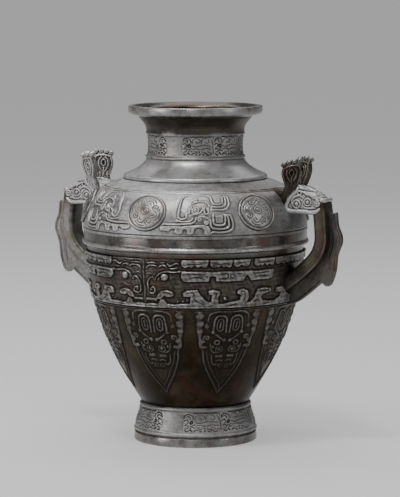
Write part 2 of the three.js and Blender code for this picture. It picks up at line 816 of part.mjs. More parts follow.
// Horn roots: stubs on the head with flat tops, on which the horns stand
const hornX = shoulderRadius - hornInset;
const zHornSeat = zHeadTop + 2;
const hornRootDepth = 12;
for (const side of [-1, 1]) {
  const rootTop = hornFootWidth * 0.52;
  const rootBottom = hornFootWidth * 0.62;
  const root = new THREE.CylinderGeometry(rootTop, rootBottom, hornRootDepth, 12);
  root.rotateX(Math.PI / 2).translate(hornX, side * hornSpread, zHornSeat - hornRootDepth / 2);
  headSolid = headSolid.add(solidOf(root));
}
const headPeg = pegAlongX(headPegStart, headPegEnd, zHeadPeg, shoulderHollow);
const headSocket = pegHole(headPegRadius - 6, headPegEnd + 1, zHeadPeg);
const head = headSolid.subtract(seatedBody).subtract(armCutter).subtract(headSocket);

// Horn: a palm with rounded fingers, narrow at its foot, pierced by an oval eye
function palm() {
  const outline = new THREE.Shape();
  const fingerRadius = hornTopWidth / (2 * hornFingers);
  const fingerBase = hornHeight - fingerRadius;
  outline.moveTo(-hornFootWidth / 2, -4);
  outline.lineTo(hornFootWidth / 2, -4);
  outline.quadraticCurveTo(hornFootWidth / 2, hornHeight * 0.4, hornTopWidth / 2, fingerBase - 3);
  for (let finger = hornFingers - 1; finger >= 0; finger -= 1) {
    const centre = (2 * finger + 1) * fingerRadius - hornTopWidth / 2;
    outline.absarc(centre, fingerBase, fingerRadius * 0.94, 0, Math.PI, false);
  }
  outline.lineTo(-hornTopWidth / 2, fingerBase - 3);
  outline.quadraticCurveTo(-hornFootWidth / 2, hornHeight * 0.4, -hornFootWidth / 2, -4);
  const eye = new THREE.Path();
  eye.absellipse(0, hornHeight * 0.46, 2, 3.4, 0, 2 * Math.PI, true);
  outline.holes.push(eye);
  const geometry = new THREE.ExtrudeGeometry(outline, {
    depth: hornThickness - 2,
    bevelThickness: 1,
    bevelSize: 1,
    bevelOffset: -1,
    bevelSegments: 1,
    curveSegments: 3,
    steps: 1,
  });
  return geometry.rotateX(Math.PI / 2).translate(0, (hornThickness - 2) / 2, 0);
}

// All that lies under a horn's seat
const blockSpan = 3 * hornTopWidth;
const blockBelow = new THREE.BoxGeometry(blockSpan, blockSpan, hornHeight);
const seatBlock = solidOf(blockBelow.translate(0, 0, -hornHeight / 2));

function horn(side) {
  const blade = palm().rotateX(THREE.MathUtils.degToRad(-side * hornLean));
  blade.rotateZ(THREE.MathUtils.degToRad(-side * hornTurn));
  return geometryOf(solidOf(blade).subtract(seatBlock));
}

const handleSides = { right: 0, left: Math.PI };
for (const [side, bearing] of Object.entries(handleSides)) {
  const handle = new THREE.Group();
  handle.rotation.z = bearing;
  group.add(handle);
  add(`handle_arm_${side}`, geometryOf(arm), bronze, handle);
  add(`handle_fin_${side}`, geometryOf(fin), redBronze, handle);
  add(`beast_head_${side}`, geometryOf(head), wornBronze, handle);
  add(`head_peg_${side}`, geometryOf(headPeg), redBronze, handle);
  add(`arm_peg_${side}`, geometryOf(armPeg), redBronze, handle);
  const places = bearing === 0 ? { front: -1, back: 1 } : { front: 1, back: -1 };
  for (const [place, y] of Object.entries(places)) {
    const mesh = add(`horn_${side}_${place}`, horn(y), wornBronze, handle);
    mesh.position.set(hornX, y * hornSpread, zHornSeat);
  }
}

export default group;
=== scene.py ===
"""Dressed model of a cast bronze vase with relief bands, six roundels and two beast handles.

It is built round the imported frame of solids. Sizes in the classes are millimetres, bearings are
degrees from the front (-Y) towards +X, and the meshes are written in metres.
"""

import logging
import math
from dataclasses import dataclass, field
from enum import Enum
from typing import Callable, ClassVar, Iterable, Optional, Union

import bmesh
import bpy
import numpy as np
from mathutils import Matrix, Vector


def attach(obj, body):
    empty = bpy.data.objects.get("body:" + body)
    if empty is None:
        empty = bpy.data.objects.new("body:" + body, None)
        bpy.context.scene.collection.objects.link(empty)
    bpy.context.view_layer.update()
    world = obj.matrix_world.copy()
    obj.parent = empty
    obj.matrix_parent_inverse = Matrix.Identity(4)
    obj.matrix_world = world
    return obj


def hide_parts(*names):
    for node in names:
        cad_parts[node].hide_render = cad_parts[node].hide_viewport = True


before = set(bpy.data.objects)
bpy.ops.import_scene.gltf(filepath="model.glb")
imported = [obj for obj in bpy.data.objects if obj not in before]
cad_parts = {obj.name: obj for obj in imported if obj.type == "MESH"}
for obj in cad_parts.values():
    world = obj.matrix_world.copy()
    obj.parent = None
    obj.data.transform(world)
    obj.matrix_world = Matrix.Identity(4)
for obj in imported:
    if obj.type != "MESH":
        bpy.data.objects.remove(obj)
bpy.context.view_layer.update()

log = logging.getLogger("bronze_vase")

MM = 0.001
TINY = 1e-9
WELD = 1e-6
HORN_SEAT = (118.9, 13.5, 278.5)
HORN_TURN = 28.0
Point = tuple[float, float]
Spot = tuple[float, float, float]
Line = list[Point]
Drawing = Callable[["Relief"], None]
Number = Union["Value", float]


# Lines


def bezier(start: Point, leave: Point, arrive: Point, end: Point, steps: int) -> Line:
    """Sample a smooth line between two points.

    Args:
        start: First point.
        leave: Handle of the first point.
        arrive: Handle of the last point.
        end: Last point.
        steps: Pieces that the line is cut in.

    Returns:
        The points, both ends among them.
    """
    t = np.linspace(0.0, 1.0, steps + 1)[:, None]
    a, b, c, d = (np.array(point, dtype=float) for point in (start, leave, arrive, end))
    line = (1 - t) ** 3 * a + 3 * (1 - t) ** 2 * t * b + 3 * (1 - t) * t * t * c + t**3 * d
    return [tuple(point) for point in line]


def run_along(points: np.ndarray) -> np.ndarray:
    """Distance of each point of a line from its start."""
    return np.r_[0.0, np.cumsum(np.hypot(*np.diff(points, axis=0).T))]


def headings(points: np.ndarray) -> np.ndarray:
    """Unit vectors along a line."""
    along = np.gradient(points, axis=0)
    return along / (np.linalg.norm(along, axis=1)[:, None] + TINY)


def leftward(points: np.ndarray) -> np.ndarray:
    """Unit vectors to the left of a flat line, which is inward on a profile drawn upward."""
    along = headings(points)
    return np.stack([-along[:, 1], along[:, 0]], axis=1)


def spread(line: Line, spacing: float) -> Line:
    """Cut a line in equal pieces of about the given length.

    Args:
        line: Points of the line.
        spacing: Wanted distance between neighbours.

    Returns:
        The evenly spaced points.
    """
    points = np.array(line)
    run = run_along(points)
    wanted = np.linspace(0.0, run[-1], max(2, round(run[-1] / spacing) + 1))
    return list(zip(np.interp(wanted, run, points[:, 0]), np.interp(wanted, run, points[:, 1])))


def softened(line: Line, reach: float, steps: int = 2) -> Line:
    """Round the corners of an open line.

    Args:
        line: Points of the line.
        reach: Greatest distance from a corner at which its rounding starts.
        steps: Pieces of each rounding.

    Returns:
        The line with a small curve for every inner corner.
    """
    soft: Line = [line[0]]
    for before, corner, after in zip(line, line[1:], line[2:]):
        a, b, c = (np.array(point, dtype=float) for point in (before, corner, after))
        back = min(reach, np.linalg.norm(a - b) * 0.45)
        ahead = min(reach, np.linalg.norm(c - b) * 0.45)
        first = b + (a - b) / np.linalg.norm(a - b) * back
        last = b + (c - b) / np.linalg.norm(c - b) * ahead
        for step in range(steps + 1):
            t = step / steps
            soft.append(tuple((1 - t) ** 2 * first + 2 * (1 - t) * t * b + t * t * last))
    return [*soft, line[-1]]


def drawn(points: Line, steps: int = 5) -> Line:
    """Draw a smooth line through points.

    Args:
        points: Points that the line goes through.
        steps: Pieces between two points.

    Returns:
        The points of the smooth line.
    """
    if len(points) < 3:
        return points
    p = np.array([points[0], *points, points[-1]], dtype=float)
    line: Line = []
    for a, b, c, d in zip(p, p[1:], p[2:], p[3:]):
        for step in range(steps):
            t = step / steps
            bend = 2 * a - 5 * b + 4 * c - d
            turn = 3 * b - a - 3 * c + d
            line.append(tuple(0.5 * (2 * b + (c - a) * t + bend * t * t + turn * t**3)))
    return [*line, points[-1]]


def radius_at(line: Line, height: Union[float, np.ndarray]) -> Union[float, np.ndarray]:
    """Radius of a profile at one height or at an array of them."""
    points = np.array(line)
    return np.interp(height, points[:, 1], points[:, 0])


def squared(wave: np.ndarray, squareness: float) -> np.ndarray:
    """A sine or cosine flattened at its ends, for a section between a circle and a square."""
    return np.sign(wave) * np.abs(wave) ** (2.0 / squareness)


def nearness(away: np.ndarray, reach: float) -> np.ndarray:
    """1 where a distance is nil, falling smoothly to nothing over about twice the reach."""
    return np.exp(-((away / reach) ** 2))


def waves(turn: np.ndarray, height: np.ndarray, table: Iterable[tuple]) -> np.ndarray:
    """Add up sine waves that run round and up the body.

    Args:
        turn: Bearings in radians.
        height: Heights in millimetres.
        table: Size, waves round the body, millimetres up per radian, and phase of each.

    Returns:
        The sum.
    """
    return sum(size * np.sin(count * turn + height / rise + phase)
               for size, count, rise, phase in table)


# Reliefs

TAPER_STATIONS = (0.0, 0.35, 0.65, 1.0)
END_RISE = 0.25
SPIRAL_RUN = 0.86


class Relief:
    """A height field in millimetres over a surface that is laid flat.

    A drawing unit is a degree across and a millimetre up on a band, and a millimetre on a disc.
    """

    def __init__(self, across: np.ndarray, up: np.ndarray, per_unit: Callable) -> None:
        """Start with flat ground.

        Args:
            across: Distance across the flat surface of each sample.
            up: Distance up the flat surface of each sample.
            per_unit: Length of one drawing unit across, at a given distance up.
        """
        self.across = across
        self.up = up
        self.per_unit = per_unit
        self.height = np.zeros_like(across)
        self.base = np.zeros_like(across)

    def settle(self) -> None:
        """Make what is carved so far the ground of what follows."""
        self.base += self.height
        self.height[:] = 0.0

    def _raise(self, near: tuple, heights: np.ndarray) -> None:
        """Raise samples to the given heights where they are lower."""
        self.height[near] = np.maximum(self.height[near], heights)

    def total(self) -> np.ndarray:
        """Height of all layers together."""
        return self.base + self.height

    def _flat(self, points: Line) -> np.ndarray:
        """Drawing points as millimetres on the flat surface."""
        pts = np.array(points, dtype=float)
        return np.stack([pts[:, 0] * self.per_unit(pts[:, 1]), pts[:, 1]], axis=1)

    def _samples(self, path: np.ndarray, reach: float) -> tuple[np.ndarray, ...]:
        """Samples inside the box of a path grown by a reach.

        Args:
            path: Points of the path in millimetres.
            reach: How far its box is grown.

        Returns:
            Index of the samples.
        """
        low = path.min(axis=0) - reach
        high = path.max(axis=0) + reach
        inside = (self.across > low[0]) & (self.across < high[0])
        return np.nonzero(inside & (self.up > low[1]) & (self.up < high[1]))

    def _near(self, path: np.ndarray, reach: float) -> tuple[tuple, np.ndarray, np.ndarray]:
        """Distances from the samples near a path.

        Args:
            path: Points of the path in millimetres.
            reach: How far from it the samples are looked for.

        Returns:
            Index of the samples, their distance, and how far along the path each lies (0 to 1).
        """
        near = self._samples(path, reach)
        p = np.stack([self.across[near], self.up[near]], axis=1)[:, None]
        a = path[None, :-1]
        ab = path[None, 1:] - a
        t = ((p - a) * ab).sum(-1) / np.maximum((ab * ab).sum(-1), TINY)
        t = np.clip(t, 0.0, 1.0)
        away = np.linalg.norm(p - a - t[..., None] * ab, axis=-1)
        best = away.argmin(axis=1) if away.size else np.zeros(0, dtype=int)
        row = np.arange(len(best))
        share = (best + t[row, best]) / max(1, len(path) - 1)
        return near, away[row, best], share

    def ridge(self, points: Line, width: float, rise: float, ends: Point = (1.0, 1.0)) -> None:
        """Raise a rounded line, or sink it where the rise is negative.

        Args:
            points: Points that it goes through, in drawing units.
            width: Width at the ground.
            rise: Height over the ground, or depth under what is there.
            ends: Share of the width at the start and at the end.
        """
        path = self._flat(drawn(points))
        near, away, share = self._near(path, width)
        half = width / 2 * np.interp(share, TAPER_STATIONS, [ends[0], 1.0, 1.0, ends[1]])
        fade = np.clip(1 - away / np.maximum(half, 1e-6), 0.0, 1.0)
        shape = rise * fade * (2 - fade) * np.minimum(1.0, half / (width / 2) + END_RISE)
        if rise > 0:
            self._raise(near, shape)
        else:
            self.height[near] += shape

    def plateau(self, outline: Line, rise: float, bevel: float = 0.9, smooth: bool = False) -> None:
        """Raise a flat-topped shape.

        Args:
            outline: Its corners in drawing units.
            rise: Height over the ground.
            bevel: Width of its sloping edge.
            smooth: Whether the outline is drawn as a curve through the corners.
        """
        closed = [*outline, outline[0]]
        path = self._flat(drawn(closed) if smooth else closed)
        near, away, _ = self._near(path, bevel + 1.0)
        x, y = self.across[near], self.up[near]
        inside = np.zeros(x.shape, dtype=bool)
        for (x0, y0), (x1, y1) in zip(path, path[1:]):
            crosses = (y0 > y) != (y1 > y)
            if y1 != y0:
                inside ^= crosses & (x < (x1 - x0) * (y - y0) / (y1 - y0) + x0)
        depth = np.where(inside, away, -away)
        t = np.clip(depth / bevel + 0.5, 0.0, 1.0)
        self._raise(near, rise * t * t * (3 - 2 * t))

    def boss(self, centre: Point, radius: float, rise: float, add: bool = False) -> None:
        """Raise a dome.

        Args:
            centre: Its middle in drawing units.
            radius: Radius of its foot.
            rise: Height over the ground, or a negative depth where it is added.
            add: Whether it stands on what is there.
        """
        path = self._flat([centre, centre])
        near = self._samples(path, radius)
        away = np.hypot(self.across[near] - path[0, 0], self.up[near] - path[0, 1]) / radius
        shape = np.sqrt(np.clip(1 - away * away, 0.0, 1.0))
        if add:
            self.height[near] += rise * shape
        else:
            self._raise(near, rise * shape)

    def ring(self, centre: Point, radius: float, width: float, rise: float) -> None:
        """Raise a ring.

        Args:
            centre: Its middle in drawing units.
            radius: Radius of its crest.
            width: Width at its foot.
            rise: Height over the ground.
        """
        path = self._flat([centre, centre])
        near = self._samples(path, radius + width)
        away = np.hypot(self.across[near] - path[0, 0], self.up[near] - path[0, 1])
        fade = np.clip(1 - np.abs(away - radius) / (width / 2), 0.0, 1.0)
        self._raise(near, rise * fade * (2 - fade))

    def spiral(self, centre: Point, radius: float, turns: float, start: float, width: float,
               rise: float) -> None:
        """Raise or cut a spiral that runs in to its middle.

        Args:
            centre: Its middle in drawing units.
            radius: Radius at its outer end.
            turns: Number of turns, negative to run clockwise.
            start: Bearing of the outer end in degrees, from the right.
            width: Width at its foot.
            rise: Height over the ground, or a negative depth.
        """
        unit = float(self.per_unit(np.array([centre[1]]))[0])
        t = np.linspace(0.0, 1.0, max(8, int(abs(turns) * 16)) + 1)
        turn = math.radians(start) + 2 * math.pi * turns * t
        reach = radius * (1 - SPIRAL_RUN * t)
        across, up = centre[0] + reach * np.cos(turn) / unit, centre[1] + reach * np.sin(turn)
        self.ridge(list(zip(across, up)), width, rise, (0.8, 1.0))


def blurred(heights: np.ndarray, reach: int) -> np.ndarray:
    """Average a height field over a window, wrapping round the axis.

    Args:
        heights: Heights, stations by bearings.
        reach: Samples on each side.

    Returns:
        The averaged field.
    """
    span = 2 * reach + 1
    wide = np.pad(heights, ((reach, reach), (0, 0)), mode="edge")
    rows = np.pad(np.cumsum(wide, axis=0), ((1, 0), (0, 0)))
    wide = np.pad((rows[span:] - rows[:-span]) / span, ((0, 0), (reach, reach)), mode="wrap")
    columns = np.pad(np.cumsum(wide, axis=1), ((0, 0), (1, 0)))
    return (columns[:, span:] - columns[:, :-span]) / span


# Shader


class Value:
    """A number in a material, on which arithmetic adds Math nodes."""

    def __init__(self, sheet: "Sheet", socket: bpy.types.NodeSocket) -> None:
        """Wrap an output socket of a sheet."""
        self.sheet = sheet
        self.socket = socket

    def _math(self, operation: str, *operands: Number, clamp: bool = False) -> "Value":
        """Add a Math node and wrap its result, kept between 0 and 1 if clamped."""
        settings = {"operation": operation, "use_clamp": clamp}
        return self.sheet.value("ShaderNodeMath", settings, dict(enumerate(operands)))

    def __add__(self, other: Number) -> "Value":
        """Sum."""
        return self._math("ADD", self, other)

    def __sub__(self, other: Number) -> "Value":
        """Difference."""
        return self._math("SUBTRACT", self, other)

    def __rsub__(self, other: Number) -> "Value":
        """Difference from a number."""
        return self._math("SUBTRACT", other, self)

    def __mul__(self, other: Number) -> "Value":
        """Product."""
        return self._math("MULTIPLY", self, other)

    __radd__ = __add__
    __rmul__ = __mul__

    def between(self, low: float, high: float) -> "Value":
        """Share of the way from low to high, kept between 0 and 1."""
        return self._math("MULTIPLY", self - low, 1.0 / (high - low), clamp=True)


class Sheet:
    """The node sheet of one material."""

    def __init__(self, name: str) -> None:
        """Start a material that has only its surface shader and output.

        Args:
            name: Its name.
        """
        self.material = bpy.data.materials.new(name)
        self.material.use_nodes = True
        self.tree = self.material.node_tree
        self.tree.nodes.clear()
        self.surface = self.node("ShaderNodeBsdfPrincipled")
        self.output = self.node("ShaderNodeOutputMaterial")
        self.feed(self.output.inputs["Surface"], self.surface.outputs["BSDF"])
        self.place = self.node("ShaderNodeTexCoord").outputs["Object"]

    def node(self, kind: str, settings: Optional[dict] = None,
             inputs: Optional[dict] = None) -> bpy.types.Node:
        """Add a node.

        Args:
            kind: Its type.
            settings: Its own settings, set before its sockets.
            inputs: Values or links of its sockets, by name or number.

        Returns:
            The node.
        """
        node = self.tree.nodes.new(kind)
        for name, setting in (settings or {}).items():
            setattr(node, name, setting)
        for name, entry in (inputs or {}).items():
            self.feed(node.inputs[name], entry)
        return node

    def feed(self, socket: bpy.types.NodeSocket, entry: object) -> None:
        """Link or set one input socket.

        Args:
            socket: The input.
            entry: A value, a link, a colour or a number.
        """
        if isinstance(entry, Value):
            self.tree.links.new(entry.socket, socket)
        elif isinstance(entry, bpy.types.NodeSocket):
            self.tree.links.new(entry, socket)
        elif isinstance(entry, tuple) and len(entry) == 3 and len(socket.default_value) == 4:
            socket.default_value = (*entry, 1.0)
        else:
            socket.default_value = entry

    def value(self, kind: str, settings: Optional[dict] = None,
              inputs: Optional[dict] = None, output: Union[int, str] = 0) -> Value:
        """Add a node and wrap one of its outputs."""
        return Value(self, self.node(kind, settings, inputs).outputs[output])

    def noise(self, scale: float, detail: float, roughness: float, shift: Spot = (0.0, 0.0, 0.0),
              upright: float = 1.0) -> Value:
        """Noise on the object's own coordinates, a number round 0.5.

        Args:
            scale: Cells in a metre.
            detail: Octaves.
            roughness: Share of each finer octave.
            shift: Where the pattern starts.
            upright: How many times longer its cells are along the height.

        Returns:
            The noise.
        """
        placed = self.node("ShaderNodeMapping", {}, {"Vector": self.place, "Location": shift,
                                                     "Scale": (1.0, 1.0, 1.0 / upright)})
        inputs = {"Vector": placed.outputs[0], "Scale": scale, "Detail": detail,
                  "Roughness": roughness}
        return self.value("ShaderNodeTexNoise", {}, inputs)

    def attribute(self, name: str) -> Value:
        """A number that the mesh carries on its corners."""
        return self.value("ShaderNodeAttribute", {"attribute_name": name}, output="Fac")

    def mix(self, share: Number, first: object, second: object) -> bpy.types.NodeSocket:
        """Mix two colours or links, by the share of the second."""
        settings = {"data_type": "RGBA", "clamp_factor": True}
        return self.node("ShaderNodeMix", settings, {0: share, 6: first, 7: second}).outputs[2]


@dataclass(frozen=True)
class Patina:
    """Cast bronze under a brown patina, silver-grey where it is pale, a paleness that also holds
    painted light, dark in the hollows with dirt and painted shade, and pale on bulges with wear and
    painted highlight.
    """

    name: str
    brown: Spot = (0.0172, 0.0114, 0.0068)
    silver: Spot = (0.400, 0.396, 0.400)
    # Colours of wear and painted highlight on bulges, and of dirt and painted shade in hollows.
    worn_highlight: Spot = (0.560, 0.545, 0.520)
    deep: Spot = (0.010, 0.0075, 0.0050)
    red: Spot = (0.075, 0.034, 0.020)
    olive: Spot = (0.082, 0.078, 0.042)
    gloss: float = 0.36
    grain: float = 0.35
    red_share: float = 0.5
    olive_share: float = 0.35
    metal: float = 0.94
    dust: float = 0.48
    sheen: float = 0.25
    fine: float = 1.0

    def material(self, name: str) -> bpy.types.Material:
        """Mix the colours from the ground up, and let gloss and metal follow them.

        Args:
            name: Name of the material.

        Returns:
            The material.
        """
        sheet = Sheet(name)
        raised = sheet.attribute("raised")
        sunk = sheet.attribute("sunk")
        pale = sheet.attribute("pale")
        cloud = sheet.noise(17.0, 4.0, 0.6).between(0.32, 0.68)
        mottle = sheet.noise(110.0, 5.0, 0.65, (3.1, 2.17, 0.93)).between(0.30, 0.70)
        speck = sheet.noise(800.0, 3.0, 0.6, (7.7, 5.39, 2.31))
        streak = sheet.noise(60.0, 3.0, 0.5, (1.7, 1.7, 1.7), upright=5.0)
        spots = sheet.noise(330.0, 4.0, 0.6, (5.3, 3.71, 1.59)).between(0.30, 0.70)
        mixed = 0.80 * cloud + 0.85 * mottle + self.fine * (0.60 * spots - 0.30) - 0.82
        patchy = 1.0 + mixed * (1.15 - pale)
        share = (pale * patchy + 0.10 * self.fine * (speck - 0.5)).between(0.0, 1.0)
        tone = sheet.mix(share, self.brown, self.silver)
        reds = sheet.noise(26.0, 4.0, 0.6, (11.3, 7.91, 3.39)).between(0.50, 0.64)
        reds = reds * self.red_share * (1.0 - pale).between(0.0, 1.0)
        tone = sheet.mix(reds, tone, self.red)
        greens = sheet.noise(38.0, 4.0, 0.6, (23.9, 16.73, 7.17)).between(0.50, 0.64)
        greens = greens * self.olive_share * (1.0 - pale).between(-0.2, 0.8)
        tone = sheet.mix(greens, tone, self.olive)
        stained = mottle.between(0.60, 1.0) * 0.26 + streak.between(0.55, 0.75) * 0.22
        tone = sheet.mix(stained, tone, self.brown)
        # Hollows mix towards the deep colour: dirt and painted shade.
        hollow = (sunk * (0.8 + 0.4 * mottle)).between(0.0, 1.0)
        tone = sheet.mix(hollow * 0.94, tone, self.deep)
        # Bulges mix towards the worn colour: wear and painted highlight.
        bright = raised * (0.1 + 0.8 * mottle) * (0.10 + 0.75 * pale)
        tone = sheet.mix(bright, tone, self.worn_highlight)
        surface = sheet.surface.inputs
        sheet.feed(surface["Base Color"], tone)
        sheet.feed(surface["Specular IOR Level"], self.sheen)
        dusty = share * (1.0 - hollow)
        rough = self.gloss + 0.12 * (mottle - 0.5) + 0.10 * (cloud - 0.5) + 0.14 * dusty
        rough = (rough + 0.22 * hollow - 0.08 * bright).between(0.0, 1.0)
        sheet.feed(surface["Roughness"], rough)
        metallic = self.metal - self.dust * dusty - 0.25 * hollow - 0.3 * reds - 0.3 * greens
        sheet.feed(surface["Metallic"], metallic.between(0.0, 1.0))
        relief = 0.5 * mottle + 0.3 * spots + 0.3 * speck
        bump = sheet.node("ShaderNodeBump", {}, {"Strength": self.grain, "Distance": 0.0005,
                                                 "Height": relief})
        sheet.feed(surface["Normal"], bump.outputs[0])
        return sheet.material


class Finish(Enum):
    """The finishes of the vase, by the record's slot names."""

    PLAIN = Patina("bronze_plain", gloss=0.23, grain=0.12, red_share=0.8, fine=0.3)
    RELIEF = Patina("bronze_relief", grain=0.35, red_share=0.32, olive_share=0.2)
    ROUNDEL = Patina("bronze_roundel", gloss=0.27, grain=0.25, red_share=0.9)
    HANDLE = Patina("bronze_handle", gloss=0.40, olive_share=0.7)
    BEAST = Patina("bronze_beast", gloss=0.36)
    INNER = Patina("bronze_inner", silver=(0.120, 0.105, 0.085), gloss=0.6, metal=0.6)

    def material(self) -> bpy.types.Material:
        """The one material of this finish, made on first use."""
        name = f"{self.value.name}_patina"
        return bpy.data.materials.get(name) or self.value.material(name)


# Meshes


def set_numbers(mesh: bpy.types.Mesh, name: str, numbers: np.ndarray) -> None:
    """Store one number for each vertex, under an attribute's name."""
    entry = mesh.attributes.get(name) or mesh.attributes.new(name, "FLOAT", "POINT")
    entry.data.foreach_set("value", numbers.astype(np.float32))


def positions(mesh: bpy.types.Mesh) -> np.ndarray:
    """Vertex positions of a mesh in millimetres.

    Args:
        mesh: The mesh.

    Returns:
        One row for each vertex.
    """
    flat = np.empty(len(mesh.vertices) * 3, dtype=np.float32)
    mesh.vertices.foreach_get("co", flat)
    return flat.reshape(-1, 3).astype(float) / MM


def move_to(mesh: bpy.types.Mesh, points: np.ndarray) -> None:
    """Write vertex positions that are given in millimetres."""
    mesh.vertices.foreach_set("co", (points * MM).astype(np.float32).ravel())
    mesh.update()


def put(name: str, data: bpy.types.ID) -> bpy.types.Object:
    """Stand a mesh, a lamp or a camera in the scene, as an object.

    Args:
        name: Its name.
        data: The mesh, lamp or camera.

    Returns:
        The object.
    """
    stood = bpy.data.objects.new(name, data)
    bpy.context.scene.collection.objects.link(stood)
    return stood


def finish_piece(mesh: bpy.types.Mesh, node: str, finish: Finish, pale: float = 0.3,
                 part: str = "") -> None:
    """Make an object of a mesh, give it its finish, name it after the solid that it replaces, hang
    it under the root and hide that solid.
        finish: Its finish.
        pale: How pale its patina is where the mesh doesn't say.
        part: End of its name, where it is one of several pieces for the solid.
    """
    for attribute, number in (("raised", 0.0), ("sunk", 0.0), ("pale", pale)):
        if attribute not in mesh.attributes:
            set_numbers(mesh, attribute, np.full(len(mesh.vertices), number))
    mesh.polygons.foreach_set("use_smooth", [True] * len(mesh.polygons))
    piece = put(f"vase_{node}{part}", mesh)
    mesh.materials.append(finish.material())
    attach(piece, "root")
    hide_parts(node)
    log.info("%s: %d faces, for %s", piece.name, len(mesh.polygons), node)


def mesh_of(bm: bmesh.types.BMesh, name: str) -> bpy.types.Mesh:
    """Turn a bmesh into a mesh with its faces outward, and free it.

    Args:
        bm: The bmesh.
        name: Its name.

    Returns:
        The mesh.
    """
    bmesh.ops.recalc_face_normals(bm, faces=bm.faces)
    mesh = bpy.data.meshes.new(name)
    bm.to_mesh(mesh)
    bm.free()
    return mesh


# Turned sections


@dataclass
class Band:
    """A carved band of a section, drawn once for a repeat and its mirror image."""

    low: float
    high: float
    drawing: Drawing
    repeats: int = 2
    turn: float = 0.0

    def folded(self, bearing: np.ndarray) -> np.ndarray:
        """Bearings in degrees as distances from the middle of the nearest repeat."""
        period = 360.0 / self.repeats
        return np.abs((bearing - self.turn + period / 2) % period - period / 2)


UNEVEN_WAVES = ((1.0, 3, 17.0, 0.0), (0.7, 7, -9.0, 1.3), (0.5, 13, 5.0, 0.4))
ASIDE_WAVES = ((1.0, 11, 4.1, 0.0), (0.7, 29, -2.3, 0.8))
LIFT_WAVES = ((1.0, 13, -4.7, 2.0), (0.7, 31, 2.9, 0.0))
MOTTLE_WAVES = (((1.0, 37, 1.9, 0.0), (1.0, -23, 1.5, 0.0)),
                ((1.0, 71, -2.6, 0.0), (1.0, 53, 1.1, 1.0)))
# Strengths of wear and painted highlight, of dirt and painted shade, and of the painted highlight
# on convex corners of the profile.
WEAR_HIGHLIGHT_OF_CLOSE, WEAR_HIGHLIGHT_OF_WIDE = 1.7, 0.4
DIRT_SHADE_OF_CLOSE, DIRT_SHADE_OF_WIDE = 3.0, 0.6
EDGE_SAMPLE, EDGE_WEAR_HIGHLIGHT, EDGE_WEAR_HIGHLIGHT_MOST = 0.4, 2.2, 0.8
INSIDE_PALE = 0.1


